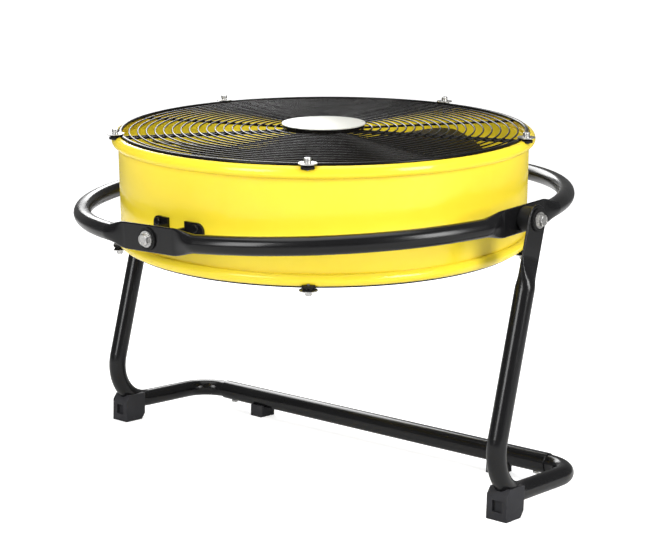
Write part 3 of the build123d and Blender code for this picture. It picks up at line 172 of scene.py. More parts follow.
def orange_peel_effect():
    """Fine waviness of a baked coat, and the slow drift of its tone over the piece."""
    tree, given, out = effect("orange_peel", {"Peel": 500.0, "Drift": 9.0}, ("Height", "Drift"))
    at = add_node(tree, "TexCoord").outputs["Object"]
    peel = add_node(tree, "TexNoise", {"Vector": at, "Scale": given.outputs["Peel"], "Detail": 2.0,
                                       "Roughness": 0.45})
    drift = add_node(tree, "TexNoise", {"Vector": at, "Scale": given.outputs["Drift"], "Detail": 4.0,
                                        "Roughness": 0.6})
    tree.links.new(peel.outputs["Fac"], out.inputs["Height"])
    tree.links.new(drift.outputs["Fac"], out.inputs["Drift"])
    return tree


EDGE_STARTS, EDGE_FULL = 0.985, 0.8         # how far the rounded normal leans from the face's own
BREAK_STARTS, BREAK_FULL = 0.42, 0.62       # noise between which the rubbed line breaks off


def worn_edge_effect():
    """Broken line along outside edges, where a coat is thin or rubbed."""
    tree, given, out = effect("worn_edge", {"Reach": 0.001, "Breaks": 160.0}, ("Mask",))
    rounded = add_node(tree, "Bevel", {"Radius": given.outputs["Reach"]}, samples=4)
    facing = add_node(tree, "NewGeometry").outputs["Normal"]
    along = add_node(tree, "VectorMath", {0: rounded.outputs["Normal"], 1: facing},
                     operation="DOT_PRODUCT")
    edge = add_node(tree, "MapRange", {"Value": along.outputs["Value"], "From Min": EDGE_STARTS,
                                       "From Max": EDGE_FULL})
    at = add_node(tree, "TexCoord").outputs["Object"]
    breaks = add_node(tree, "TexNoise", {"Vector": at, "Scale": given.outputs["Breaks"], "Detail": 3.0})
    broken = add_node(tree, "MapRange", {"Value": breaks.outputs["Fac"], "From Min": BREAK_STARTS,
                                         "From Max": BREAK_FULL})
    mask = add_node(tree, "Math", {0: edge.outputs["Result"], 1: broken.outputs["Result"]},
                    operation="MULTIPLY")
    tree.links.new(mask.outputs["Value"], out.inputs["Mask"])
    return tree


def place_effect(tree, group, **values):
    """The group as a node in a material, with its own values."""
    made = tree.nodes.new("ShaderNodeGroup")
    made.node_tree = group
    for socket, value in values.items():
        made.inputs[socket].default_value = value
    return made


def two_tones(tree, share, first, second):
    """Colour that goes from the first to the second with the share. Either may be an output."""
    mix = add_node(tree, "Mix", {0: share, 6: first, 7: second}, data_type="RGBA")
    return mix.outputs[2]


def spread(tree, value, low, high, start=0.3, end=0.7):
    """Value remapped to run from low to high."""
    given = {"Value": value, "From Min": start, "From Max": end, "To Min": low, "To Max": high}
    return add_node(tree, "MapRange", given).outputs["Result"]


def new_finish(name, **shader):
    """Empty material: its node tree and its shader, with the sockets that stay the same all over."""
    made = bpy.data.materials.new(name)
    made.use_nodes = True
    surface = made.node_tree.nodes["Principled BSDF"]
    for socket, value in shader.items():
        surface.inputs[socket.replace("_", " ")].default_value = value
    return made, made.node_tree, surface


def relief(tree, surface, height, depth, edge):
    """Bump from a height, over edges that are softened by the given radius."""
    rounded = add_node(tree, "Bevel", {"Radius": edge}, samples=4)
    bump = add_node(tree, "Bump", {"Height": height, "Strength": 1.0, "Distance": depth,
                                   "Normal": rounded.outputs["Normal"]})
    tree.links.new(bump.outputs["Normal"], surface.inputs["Normal"])


orange_peel = orange_peel_effect()
worn_edge = worn_edge_effect()


def powder_coat(name, tones, worn, gloss, peel, depth, wear, edge=0.0006, **shader):
    """Baked coat: two tones that drift into each other, a worn tone on the edges, and orange peel."""
    made, tree, surface = new_finish(name, **shader)
    skin = place_effect(tree, orange_peel, Peel=peel)
    rub = place_effect(tree, worn_edge, Reach=wear)
    drift = spread(tree, skin.outputs["Drift"], 0.0, 1.0)
    tone = two_tones(tree, drift, tones[0], tones[1])
    tree.links.new(two_tones(tree, rub.outputs["Mask"], tone, worn), surface.inputs["Base Color"])
    tree.links.new(spread(tree, skin.outputs["Drift"], gloss[0], gloss[1]), surface.inputs["Roughness"])
    relief(tree, surface, skin.outputs["Height"], depth, edge)
    return made


def dress(material, *names):
    """Give CAD nodes their finish."""
    for name in names:
        nodes[name].data.materials.clear()
        nodes[name].data.materials.append(material)


black_tube = powder_coat("black_tube", ((0.0045, 0.0045, 0.005, 1), (0.007, 0.007, 0.0075, 1)),
                         worn=(0.02, 0.02, 0.021, 1), gloss=(0.18, 0.25), peel=420.0, depth=0.00003,
                         wear=0.0008, Specular_IOR_Level=0.32)
dress(black_tube, "left_leg", "right_leg", "cross_bar", "tilt_ring")


# ------------------------------------------------------------------ feet
# Moulded black rubber blocks, screwed on from below. The two front ones are tall, with a saddle for
# the toe bend and a square pocket in front; the two rear ones sit low under the cross bar.

FOOT_ROUND = 0.0012
FOOT_CREASE = radians(50)
POCKET = 0.0140         # side of the square pocket
POCKET_Z = 0.0170       # its middle above the floor
POCKET_DEEP = 0.0055
POCKET_RIM = 0.0010
TOE_CUT_Y = 0.0060      # the front top edge and the rear low one are cut off this far
TOE_CUT_Z = 0.0085
REAR_PANEL_IN = 0.0030  # margin round the sunk panel on the rear feet
REAR_PANEL_DEEP = 0.0010
TOE_BEND = 0.058        # radius of the leg's bend over the foot
TUBE_R = 0.012
TUBE_LOW = 0.0266       # middle of the low tubes above the floor
BAR_R = 0.0135
SADDLE_GAP = 0.00015
LEAN = radians(13.6)    # of the legs' upright runs


def grain_effect():
    """Fine closed grain of a moulding tool, and the dull bloom that rubber gets."""
    tree, given, out = effect("moulded_grain", {"Cells": 900.0, "Bloom": 22.0}, ("Height", "Bloom"))
    at = add_node(tree, "TexCoord").outputs["Object"]
    cells = add_node(tree, "TexVoronoi", {"Vector": at, "Scale": given.outputs["Cells"]})
    bloom = add_node(tree, "TexNoise", {"Vector": at, "Scale": given.outputs["Bloom"], "Detail": 5.0,
                                        "Roughness": 0.65})
    tree.links.new(cells.outputs["Distance"], out.inputs["Height"])
    tree.links.new(bloom.outputs["Fac"], out.inputs["Bloom"])
    return tree


moulded_grain = grain_effect()


def moulded(name, tones, worn, rough, cells, depth, wear, edge=0.0005, **shader):
    """Moulded rubber or plastic: grain, a bloom of a second tone, and paler rubbed edges."""
    made, tree, surface = new_finish(name, **shader)
    skin = place_effect(tree, moulded_grain, Cells=cells)
    rub = place_effect(tree, worn_edge, Reach=wear, Breaks=220.0)
    tone = two_tones(tree, spread(tree, skin.outputs["Bloom"], 0.0, 1.0), tones[0], tones[1])
    tree.links.new(two_tones(tree, rub.outputs["Mask"], tone, worn), surface.inputs["Base Color"])
    tree.links.new(spread(tree, skin.outputs["Bloom"], rough[0], rough[1]), surface.inputs["Roughness"])
    relief(tree, surface, skin.outputs["Height"], depth, edge)
    return made


def add_part(kind, **sizes):
    """A new primitive, with nothing else selected and its size and place in its mesh."""
    bpy.ops.object.select_all(action="DESELECT")
    getattr(bpy.ops.mesh, "primitive_" + kind + "_add")(**sizes)
    bpy.ops.object.transform_apply(location=True, rotation=True, scale=True)
    return bpy.context.active_object


def select_faces(piece, test):
    """Edit mode, with the faces selected whose middle and normal pass the test."""
    bpy.ops.object.mode_set(mode="EDIT")
    bpy.ops.mesh.select_mode(type="FACE")
    bpy.ops.mesh.select_all(action="DESELECT")
    bpy.ops.object.mode_set(mode="OBJECT")
    for face in piece.data.polygons:
        face.select = test(face.center, face.normal)
    bpy.ops.object.mode_set(mode="EDIT")


def use_modifier(piece, kind, **settings):
    """Add a modifier and apply it."""
    bpy.context.view_layer.objects.active = piece
    made = piece.modifiers.new(kind.lower(), kind)
    for key, value in settings.items():
        setattr(made, key, value)
    bpy.ops.object.modifier_apply(modifier=made.name)


def cut(piece, *cutters):
    """Take the cutters out of the piece."""
    for cutter in cutters:
        use_modifier(piece, "BOOLEAN", operation="DIFFERENCE", solver="EXACT", object=cutter)
        bpy.data.objects.remove(cutter)


def finish_part(piece, name, body, material, place=None, smooth=35):
    """Put a new piece in its place, on its body, with its finish."""
    piece.name = name
    piece.data.name = name
    if place is not None:
        piece.data.transform(place)
    bpy.ops.object.select_all(action="DESELECT")
    piece.select_set(True)
    bpy.context.view_layer.objects.active = piece
    bpy.ops.object.shade_smooth_by_angle(angle=radians(smooth))
    piece.data.materials.clear()
    piece.data.materials.append(material)
    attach(piece, body)
    return piece


def finish_foot(foot, saddle, node):
    """Cut the tube's saddle, round the edges and put the foot in for the CAD one."""
    cut(foot, saddle)
    use_modifier(foot, "BEVEL", width=FOOT_ROUND, segments=3, limit_method="ANGLE", angle_limit=FOOT_CREASE)
    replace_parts(finish_part(foot, "moulded_" + node, "base", rubber), node)


rubber = moulded("rubber_foot", ((0.020, 0.020, 0.023, 1), (0.034, 0.034, 0.038, 1)),
                 worn=(0.08, 0.08, 0.085, 1), rough=(0.55, 0.75), cells=700.0, depth=0.00006, wear=0.0012,
                 Specular_IOR_Level=0.25)

# The upright run meets the low one at toe_y, and the bend between them turns about bend_y.
toe_y = -(frame["joints"][0]["pos_m"][2] - TUBE_LOW) * tan(LEAN)
bend_y = toe_y + TOE_BEND * tan((pi / 2 + LEAN) / 2)
for side in ("left", "right"):
    low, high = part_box("front_foot_" + side)
    middle = (low + high) / 2
    outline = ((low.y, low.z), (low.y, high.z - TOE_CUT_Z), (low.y + TOE_CUT_Y, high.z), (high.y, high.z),
               (high.y, low.z + TOE_CUT_Z), (high.y - TOE_CUT_Y, low.z))
    foot = add_part("circle", vertices=len(outline), radius=TOE_BEND, fill_type="NGON")
    for point, (y, z) in zip(foot.data.vertices, outline):
        point.co = (low.x, y, z)
    bpy.ops.object.mode_set(mode="EDIT")
    bpy.ops.mesh.select_all(action="SELECT")
    bpy.ops.mesh.extrude_region_move(TRANSFORM_OT_translate={"value": (high.x - low.x, 0, 0)})
    bpy.ops.mesh.select_all(action="SELECT")
    bpy.ops.mesh.normals_make_consistent(inside=False)
    bpy.ops.object.mode_set(mode="OBJECT")
    select_faces(foot, lambda at, normal: normal.y < -0.9)
    rim = POCKET + 2 * POCKET_RIM
    inset = (high.x - low.x - rim) / 2
    face_low, face_high = low.z + inset, high.z - TOE_CUT_Z - inset
    face_z = (face_low + face_high) / 2
    bpy.ops.mesh.inset(thickness=inset)
    bpy.ops.transform.resize(value=(1, 1, rim / (face_high - face_low)),
                             center_override=(middle.x, low.y, face_z))
    bpy.ops.transform.translate(value=(0, 0, POCKET_Z - face_z))
    bpy.ops.mesh.inset(thickness=POCKET_RIM, depth=-POCKET_RIM / 2)
    bpy.ops.mesh.extrude_region_move(TRANSFORM_OT_translate={"value": (0, POCKET_DEEP, 0)})
    bpy.ops.object.mode_set(mode="OBJECT")
    saddle = add_part("torus", major_segments=160, minor_segments=40, major_radius=TOE_BEND,
                      minor_radius=TUBE_R + SADDLE_GAP, rotation=(0, pi / 2, 0),
                      location=(middle.x, bend_y, TUBE_LOW + TOE_BEND))
    finish_foot(foot, saddle, "front_foot_" + side)

for side in ("left", "right"):
    low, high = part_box("rear_foot_" + side)
    middle = (low + high) / 2
    foot = add_part("cube", size=1.0, location=middle, scale=high - low)
    select_faces(foot, lambda at, normal: abs(normal.x) > 0.9)
    bpy.ops.mesh.inset(thickness=REAR_PANEL_IN)
    bpy.ops.mesh.inset(thickness=REAR_PANEL_DEEP, depth=-REAR_PANEL_DEEP, use_individual=True)
    bpy.ops.object.mode_set(mode="OBJECT")
    saddle = add_part("cylinder", vertices=72, radius=BAR_R + SADDLE_GAP, depth=2 * (high.x - low.x),
                      rotation=(0, pi / 2, 0), location=(middle.x, middle.y, TUBE_LOW))
    finish_foot(foot, saddle, "rear_foot_" + side)


# ------------------------------------------------------------------ pivots
# At each pivot a zinc-plated hexagon bolt clamps washers, a grooved black collar and a plastic
# spacer on the pressed flat of the tube, with a lock nut inside. Legs and drum have the same set.

HEAD_H = 0.0055
HEAD_FLATS = 0.0130
HEAD_CHAMFER = 0.0014
HEAD_DISH = 0.0003      # depth of the round dish in the head
DISH_R = HEAD_FLATS * 0.36
CORNER_GAP = 0.00005    # by which the turned cone clears the hexagon's corners
BOLT_R = 0.0040
BOLT_POINT = 0.0006     # width of the chamfer at the threaded end, and its height
BOLT_POINT_H = 0.0002

# The ring's and the drum's own frames at rest, from the joints in model.json.
joints = {joint["name"]: joint for joint in frame["joints"]}
pivot = Vector(joints["ring_tilt"]["pos_m"])
ring_y = Vector(joints["drum_swivel"]["axis"])
drum_z = Vector(joints["fan_spin"]["axis"])
ring_x = Vector(joints["ring_tilt"]["axis"])
ring_at = Matrix.Translation(pivot) @ Matrix((ring_x, ring_y, ring_x.cross(ring_y))).transposed().to_4x4()
drum_at = (Matrix.Translation(joints["fan_spin"]["pos_m"])
           @ Matrix((ring_y.cross(drum_z), ring_y, drum_z)).transposed().to_4x4())


def spangle_effect():
    """Crystals of a zinc coat, and fine rubbing marks across them."""
    tree, given, out = effect("spangle", {"Crystals": 700.0, "Marks": 60.0}, ("Crystal", "Marks"))
    at = add_node(tree, "TexCoord").outputs["Object"]
    crystals = add_node(tree, "TexVoronoi", {"Vector": at, "Scale": given.outputs["Crystals"]})
    split = add_node(tree, "SeparateColor", {"Color": crystals.outputs["Color"]})
    stretched = add_node(tree, "VectorMath", {0: at, 1: (1.0, 1.0, 14.0)}, operation="MULTIPLY")
    marks = add_node(tree, "TexNoise", {"Vector": stretched.outputs["Vector"],
                                        "Scale": given.outputs["Marks"], "Detail": 6.0, "Roughness": 0.7})
    tree.links.new(split.outputs["Red"], out.inputs["Crystal"])
    tree.links.new(marks.outputs["Fac"], out.inputs["Marks"])
    return tree


spangle = spangle_effect()


def bare_metal(name, tones, rough, crystals, depth, metallic=1.0, edge=0.0003):
    """Plated or bare metal: crystals or grain in two tones, and rubbing marks in its gloss."""
    made, tree, surface = new_finish(name, Metallic=metallic)
    skin = place_effect(tree, spangle, Crystals=crystals)
    tone = two_tones(tree, skin.outputs["Crystal"], tones[0], tones[1])
    tree.links.new(tone, surface.inputs["Base Color"])
    tree.links.new(spread(tree, skin.outputs["Marks"], rough[0], rough[1]), surface.inputs["Roughness"])
    relief(tree, surface, skin.outputs["Marks"], depth, edge)
    return made


def join_parts(parts):
    """Several parts as one piece with several shells."""
    bpy.ops.object.select_all(action="DESELECT")
    for part in parts:
        part.select_set(True)
    bpy.context.view_layer.objects.active = parts[0]
    bpy.ops.object.join()
    return parts[0]


def copy_part(part, place):
    """The same part again with its own mesh, at another place."""
    twin = part.copy()
    twin.data = part.data.copy()
    twin.data.transform(place)
    bpy.context.scene.collection.objects.link(twin)
    return twin


def local_reach(node, place):
    """How far a node goes along a frame's Z, low and high."""
    back = place.inverted()
    heights = [(back @ vertex.co).z for vertex in nodes[node].data.vertices]
    return min(heights), max(heights)


def hex_bolt(low, high):
    """Bolt along Z with its head's top at high: chamfered hexagon with a dished top, shank and threaded
    end.
    """
    corner_r = HEAD_FLATS / 2 / cos(pi / 6)
    head = add_part("cylinder", vertices=6, radius=corner_r, depth=HEAD_H,
                    location=(0, 0, high - HEAD_H / 2))
    turned = add_part("cylinder", vertices=72, radius=corner_r + CORNER_GAP, depth=2 * HEAD_H,
                      location=(0, 0, high - HEAD_H))
    select_faces(turned, lambda at, normal: normal.z > 0.9)
    bpy.ops.mesh.bevel(offset=HEAD_CHAMFER, segments=1, affect="EDGES")
    bpy.ops.object.mode_set(mode="OBJECT")
    use_modifier(head, "BOOLEAN", operation="INTERSECT", solver="EXACT", object=turned)
    bpy.data.objects.remove(turned)
    dish = add_part("cylinder", vertices=48, radius=DISH_R, depth=2 * HEAD_DISH, location=(0, 0, high))
    cut(head, dish)
    shank = add_part("cylinder", vertices=32, radius=BOLT_R, depth=high - HEAD_H - low,
                     location=(0, 0, (high - HEAD_H + low) / 2))
    select_faces(shank, lambda at, normal: normal.z < -0.9)
    bpy.ops.mesh.inset(thickness=BOLT_POINT, depth=0.0)
    bpy.ops.transform.translate(value=(0, 0, -BOLT_POINT_H))
    bpy.ops.object.mode_set(mode="OBJECT")
    return join_parts([head, shank])


zinc = bare_metal("zinc", ((0.46, 0.46, 0.46, 1), (0.66, 0.65, 0.62, 1)), rough=(0.22, 0.42),
                  crystals=650.0, depth=0.00002)
nylon = moulded("black_nylon", ((0.005, 0.005, 0.005, 1), (0.009, 0.009, 0.0095, 1)),
                worn=(0.03, 0.03, 0.03, 1), rough=(0.36, 0.50), cells=1500.0, depth=0.00002, wear=0.0006,
                Specular_IOR_Level=0.2)

# Frames at the pivots, right and left or front and rear, whose Z points out along the bolt.
OUTWARD = {
    "leg": (Matrix.Translation(pivot) @ Matrix.Rotation(pi / 2, 4, "Y"),
            Matrix.Translation(pivot) @ Matrix.Rotation(-pi / 2, 4, "Y")),
    "drum": (ring_at @ Matrix.Rotation(pi / 2, 4, "X"), ring_at @ Matrix.Rotation(-pi / 2, 4, "X")),
}
for where, body in (("leg", "base"), ("drum", "ring")):
    bolts = nodes[where + "_pivot_bolts"].data.vertices
    reach = [abs((OUTWARD[where][0].inverted() @ vertex.co).z) for vertex in bolts]
    bolt = hex_bolt(min(reach), max(reach))
    twin = copy_part(bolt, OUTWARD[where][1])
    bolt.data.transform(OUTWARD[where][0])
    pair = finish_part(join_parts([bolt, twin]), where + "_pivot_hex_bolts", body, zinc)
    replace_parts(pair, where + "_pivot_bolts")
    dress(zinc, where + "_pivot_washers", where + "_pivot_nuts")
    dress(nylon, where + "_pivot_collars", where + "_pivot_spacers")

dress(zinc, "cross_bar_screws", "foot_screws")


# ------------------------------------------------------------------ drum
# Rolled steel sheet with a swaged bead at each rim, welded to a closed drum at the back and powder
# coated gloss yellow inside and out.

yellow = powder_coat("yellow_paint", ((0.94, 0.72, 0.034, 1), (0.97, 0.76, 0.044, 1)),
                     worn=(0.86, 0.60, 0.018, 1), gloss=(0.16, 0.24), peel=260.0, depth=0.00005,
                     wear=0.0012, edge=0.0008, Specular_IOR_Level=0.4)
dress(yellow, "drum_shell")

SEAM_ANGLE = radians(62)
WALL_R = 0.265
SEAM_HALF = 0.0555      # half of the weld's length
SEAM_W = 0.0024         # and of its width
SEAM_H = 0.0012
SEAM_STEPS = 46
SEAM_CROWN = 0.55       # width of the weld's crown as a share, and what every other scale adds
SCALE_W = 0.15
SCALE_H = 0.0002
seam = add_part("cube", size=1.0, location=(WALL_R, 0, 0), scale=(SEAM_H, 2 * SEAM_W, 2 * SEAM_HALF))
bpy.ops.object.mode_set(mode="EDIT")
bpy.ops.mesh.select_all(action="DESELECT")
bpy.ops.object.mode_set(mode="OBJECT")
for edge in seam.data.edges:
    ends = [seam.data.vertices[i].co for i in edge.vertices]
    edge.select = abs(ends[0].z - ends[1].z) > SEAM_HALF
bpy.ops.object.mode_set(mode="EDIT")
bpy.ops.mesh.select_mode(type="EDGE")
bpy.ops.mesh.subdivide(number_cuts=SEAM_STEPS, quadcorner="STRAIGHT_CUT")
bpy.ops.object.mode_set(mode="OBJECT")
for point in seam.data.vertices:
    step = round((point.co.z + SEAM_HALF) / (2 * SEAM_HALF) * (SEAM_STEPS + 1))
    if point.co.x > WALL_R:
        point.co.x += SCALE_H * (step % 2)
        point.co.y *= SEAM_CROWN + SCALE_W * (step % 2)
finish_part(seam, "drum_seam_weld", "drum", yellow,
            drum_at @ Matrix.Rotation(SEAM_ANGLE, 4, "Z"), smooth=80)


# ------------------------------------------------------------------ brackets
# Pressed steel bridges, front and rear, that carry the drum on its pivots. They are coated black
# like the tube and fixed to the drum's wall with four black screws each.

dress(black_tube, "front_bracket", "rear_bracket", "bracket_screws")


# ------------------------------------------------------------------ guards
# Round steel wire: nineteen thin rings and a thick rim ring, spot-welded on ten spokes, five of them
# hairpins that climb over the drum's edge and loop round a screw. Dipped in satin black.

WIRE_R = 0.0015         # spokes
RING_WIRE_R = 0.0011
RIM_WIRE_R = 0.0025
FIRST_RING = 0.052
RIM_RING = 0.2615
RINGS = 19
RING_PARTS = 176        # straight parts that a ring is drawn with
WIRE_SIDES = 10
RIM_Z = 0.071
RING_Z = 0.0706
SPOKE_Z = 0.0684
SPOKE_START = 0.024
SPOKES = 5              # of each kind
FIRST_SPOKE = radians(-53)
HAIRPIN_HALF = 0.0055
LOOP_X = 0.2695
LOOP_Z = 0.0721
LOOP_STEPS = 12
KNEE_R = 0.004
KNEE_TURN = radians(40)
KNEE_STEPS = 4
KNEE_END = 0.2632       # the hairpin is level again from here
WELD_R = 0.0019
WELD_SHAPE = (1.0, 1.25, 0.62)  # pressed flat, and wider along the ring


def grow(length_x, length_z=0.0):
    """Lengthen the selected end of a wire."""
    bpy.ops.mesh.extrude_region_move(TRANSFORM_OT_translate={"value": (length_x, 0, length_z)})


def wire_start(x, y, z):
    """End of a wire that grows along X, with its face selected."""
    wire = add_part("circle", vertices=WIRE_SIDES, radius=WIRE_R, fill_type="NGON",
                    rotation=(0, pi / 2, 0), location=(x, y, z))
    bpy.ops.object.mode_set(mode="EDIT")
    bpy.ops.mesh.select_all(action="SELECT")
    return wire


def wire_end(wire):
    """Leave edit mode with the wire's faces turned outwards."""
    bpy.ops.mesh.select_all(action="SELECT")
    bpy.ops.mesh.remove_doubles(threshold=0.00001)
    bpy.ops.mesh.normals_make_consistent(inside=False)
    bpy.ops.object.mode_set(mode="OBJECT")
    return wire


def hairpin():
    """Double spoke along X: out, up over the drum's edge, round the screw and back."""
    rise = LOOP_Z - SPOKE_Z
    slope = (rise - 2 * KNEE_R * (1 - cos(KNEE_TURN))) / sin(KNEE_TURN)
    knee_x = KNEE_END - 2 * KNEE_R * sin(KNEE_TURN) - slope * cos(KNEE_TURN)
    top_x = knee_x + KNEE_R * sin(KNEE_TURN) + slope * cos(KNEE_TURN)
    upper_knee = (top_x + KNEE_R * sin(KNEE_TURN), -HAIRPIN_HALF, LOOP_Z - KNEE_R)
    wire = wire_start(SPOKE_START, -HAIRPIN_HALF, SPOKE_Z)
    grow(knee_x - SPOKE_START)
    bpy.ops.mesh.spin(steps=KNEE_STEPS, angle=KNEE_TURN, axis=(0, 1, 0),
                      center=(knee_x, -HAIRPIN_HALF, SPOKE_Z + KNEE_R))
    grow(slope * cos(KNEE_TURN), slope * sin(KNEE_TURN))
    bpy.ops.mesh.spin(steps=KNEE_STEPS, angle=-KNEE_TURN, axis=(0, 1, 0), center=upper_knee)
    grow(LOOP_X - KNEE_END)
    bpy.ops.mesh.spin(steps=LOOP_STEPS, angle=-pi / 2, axis=(0, 0, 1), center=(LOOP_X, 0, LOOP_Z))
    wire_end(wire)
    use_modifier(wire, "MIRROR", use_axis=(False, True, False), merge_threshold=0.00002)
    return wire


def single_spoke():
    """Straight spoke along X, out to the rim ring."""
    wire = wire_start(SPOKE_START, 0, SPOKE_Z)
    grow(RIM_RING + WIRE_R - SPOKE_START)
    return wire_end(wire)


ring_step = (RIM_RING - FIRST_RING) / RINGS
ring_radii = [FIRST_RING + ring_step * i for i in range(RINGS)]
wires = [add_part("torus", major_segments=RING_PARTS, minor_segments=8, major_radius=radius,
                  minor_radius=RING_WIRE_R, location=(0, 0, RING_Z)) for radius in ring_radii]
wires.append(add_part("torus", major_segments=RING_PARTS, minor_segments=10, major_radius=RIM_RING,
                      minor_radius=RIM_WIRE_R, location=(0, 0, RIM_Z)))
pin, spoke = hairpin(), single_spoke()
bead = add_part("ico_sphere", subdivisions=2, radius=WELD_R, scale=WELD_SHAPE)
weld_z = (RING_Z + SPOKE_Z) / 2
for i in range(SPOKES):
    at_pin = Matrix.Rotation(FIRST_SPOKE + 2 * pi / SPOKES * i, 4, "Z")
    at_spoke = Matrix.Rotation(FIRST_SPOKE + 2 * pi / SPOKES * (i + 0.5), 4, "Z")
    wires += [copy_part(pin, at_pin), copy_part(spoke, at_spoke)]
    for radius in ring_radii:
        wires.append(copy_part(bead, at_spoke @ Matrix.Translation((radius, 0, weld_z))))
        for y in (-HAIRPIN_HALF, HAIRPIN_HALF):
            across_x = (radius ** 2 - y ** 2) ** 0.5
            wires.append(copy_part(bead, at_pin @ Matrix.Translation((across_x, y, weld_z))))
for pattern in (pin, spoke, bead):
    bpy.data.objects.remove(pattern)

black_wire = powder_coat("black_wire", ((0.004, 0.0038, 0.0036, 1), (0.007, 0.0065, 0.006, 1)),
                         worn=(0.015, 0.015, 0.015, 1), gloss=(0.20, 0.30), peel=700.0, depth=0.00002,
                         wear=0.0004, edge=0.0002, Specular_IOR_Level=0.14)
front_wires = join_parts(wires)
rear_wires = copy_part(front_wires, Matrix.Scale(-1, 4, (0, 0, 1)))
for guard, word in ((front_wires, "front"), (rear_wires, "rear")):
    finish_part(guard, word + "_guard_wires", "drum", black_wire, drum_at, smooth=60)
    bpy.ops.object.mode_set(mode="EDIT")
    bpy.ops.mesh.select_all(action="SELECT")
    bpy.ops.mesh.normals_make_consistent(inside=False)
    bpy.ops.object.mode_set(mode="OBJECT")
    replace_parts(guard, word + "_guard")


# ------------------------------------------------------------------ hub plates
# A bare domed plate of painted sheet covers the middle of each guard. Its stud goes through a black
# disc below the spokes, with a nut.

cream = powder_coat("cream_paint", ((0.62, 0.62, 0.56, 1), (0.67, 0.67, 0.61, 1)),
                    worn=(0.50, 0.48, 0.42, 1), gloss=(0.25, 0.35), peel=380.0, depth=0.00003,
                    wear=0.0008, edge=0.0008, Specular_IOR_Level=0.3)
dress(cream, "front_hub_plate", "rear_hub_plate")
dress(black_wire, "front_hub_backing", "rear_hub_backing")
dress(zinc, "hub_nuts")


# ------------------------------------------------------------------ guard screws
# Each hairpin is held by a zinc-plated screw with a cross recess, through a wide washer and a black
# rubber seat that is shaped to the bead.

SCREW_HEAD_R = 0.0042
SCREW_HEAD_H = 0.0060
SCREW_ROUND = 0.0012
SCREW_L = 0.0157        # from the head down
SHANK_R = 0.0022
SHANK_POINT = 0.0007    # chamfer at the threaded end
RECESS_W = 0.0010       # the cross: width and length of each arm
RECESS_L = 0.0050
TURN_BETWEEN = 31       # degrees that each screw stands turned from the last

screw_high = local_reach("guard_screws", drum_at)[1]
screw = add_part("cylinder", vertices=48, radius=SCREW_HEAD_R, depth=SCREW_HEAD_H,
                 location=(0, 0, screw_high - SCREW_HEAD_H / 2))
select_faces(screw, lambda at, normal: normal.z > 0.9)
bpy.ops.mesh.bevel(offset=SCREW_ROUND, segments=4, affect="EDGES")
bpy.ops.object.mode_set(mode="OBJECT")
arms = [add_part("cube", size=1.0, location=(0, 0, screw_high), scale=(x, y, 2 * RECESS_W))
        for x, y in ((RECESS_W, RECESS_L), (RECESS_L, RECESS_W))]
cut(screw, *arms)
shank = add_part("cylinder", vertices=24, radius=SHANK_R, depth=SCREW_L,
                 location=(0, 0, screw_high - SCREW_HEAD_H - SCREW_L / 2))
select_faces(shank, lambda at, normal: normal.z < -0.9)
bpy.ops.mesh.inset(thickness=SHANK_POINT, depth=SHANK_POINT)
bpy.ops.object.mode_set(mode="OBJECT")
screw = join_parts([screw, shank])
screws = []
for i in range(SPOKES):
    loop_at = (Matrix.Rotation(FIRST_SPOKE + 2 * pi / SPOKES * i, 4, "Z")
               @ Matrix.Translation((LOOP_X, 0, 0)))
    for flip in (Matrix.Identity(4), Matrix.Rotation(pi, 4, "X")):
        turned_in = Matrix.Rotation(radians(TURN_BETWEEN * len(screws)), 4, "Z")
        screws.append(copy_part(screw, loop_at @ flip @ turned_in))
bpy.data.objects.remove(screw)
screws = finish_part(join_parts(screws), "guard_cross_screws", "drum", zinc, drum_at)
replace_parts(screws, "guard_screws")
dress(zinc, "guard_washers")
seal = moulded("seal_rubber", ((0.006, 0.006, 0.006, 1), (0.010, 0.010, 0.0105, 1)),
               worn=(0.03, 0.03, 0.03, 1), rough=(0.5, 0.7), cells=1200.0, depth=0.00003, wear=0.0005,
               Specular_IOR_Level=0.2)
dress(seal, "guard_grommets")


# ------------------------------------------------------------------ motor
# A fan motor stands on two black steel bars across the drum. Two cast bells, enamelled black, close
# a stack of steel laminations with varnished copper windings; four long bolts hold them together.

enamel = powder_coat("motor_enamel", ((0.008, 0.008, 0.009, 1), (0.014, 0.014, 0.015, 1)),
                     worn=(0.07, 0.07, 0.07, 1), gloss=(0.35, 0.5), peel=240.0, depth=0.00015, wear=0.001,
                     Specular_IOR_Level=0.25)
steel = bare_metal("steel", ((0.42, 0.42, 0.43, 1), (0.60, 0.60, 0.60, 1)), rough=(0.2, 0.4),
                   crystals=2500.0, depth=0.00001)
dress(enamel, "motor_rear_bell", "motor_front_bell")
dress(black_wire, "motor_mount_bars")
dress(zinc, "motor_mount_bolts", "motor_stay_bolts")
dress(steel, "motor_bearings", "motor_shaft")


def layered(name, tones, rough, bands, depth, axis_turn, metallic, edge=0.0003):
    """Stack of thin layers or a wound coil: bands square to an axis of the drum."""
    made, tree, surface = new_finish(name, Metallic=metallic)
    at = add_node(tree, "TexCoord").outputs["Object"]
    turned = add_node(tree, "Mapping", {"Vector": at, "Rotation": axis_turn}, vector_type="TEXTURE")
    lines = add_node(tree, "TexWave", {"Vector": turned.outputs["Vector"], "Scale": bands,
                                       "Distortion": 0.6, "Detail": 2.0}, bands_direction="Z")
    band = lines.outputs["Fac"]
    tree.links.new(two_tones(tree, band, tones[0], tones[1]), surface.inputs["Base Color"])
    tree.links.new(spread(tree, band, rough[0], rough[1], 0, 1), surface.inputs["Roughness"])
    relief(tree, surface, band, depth, edge)
    return made


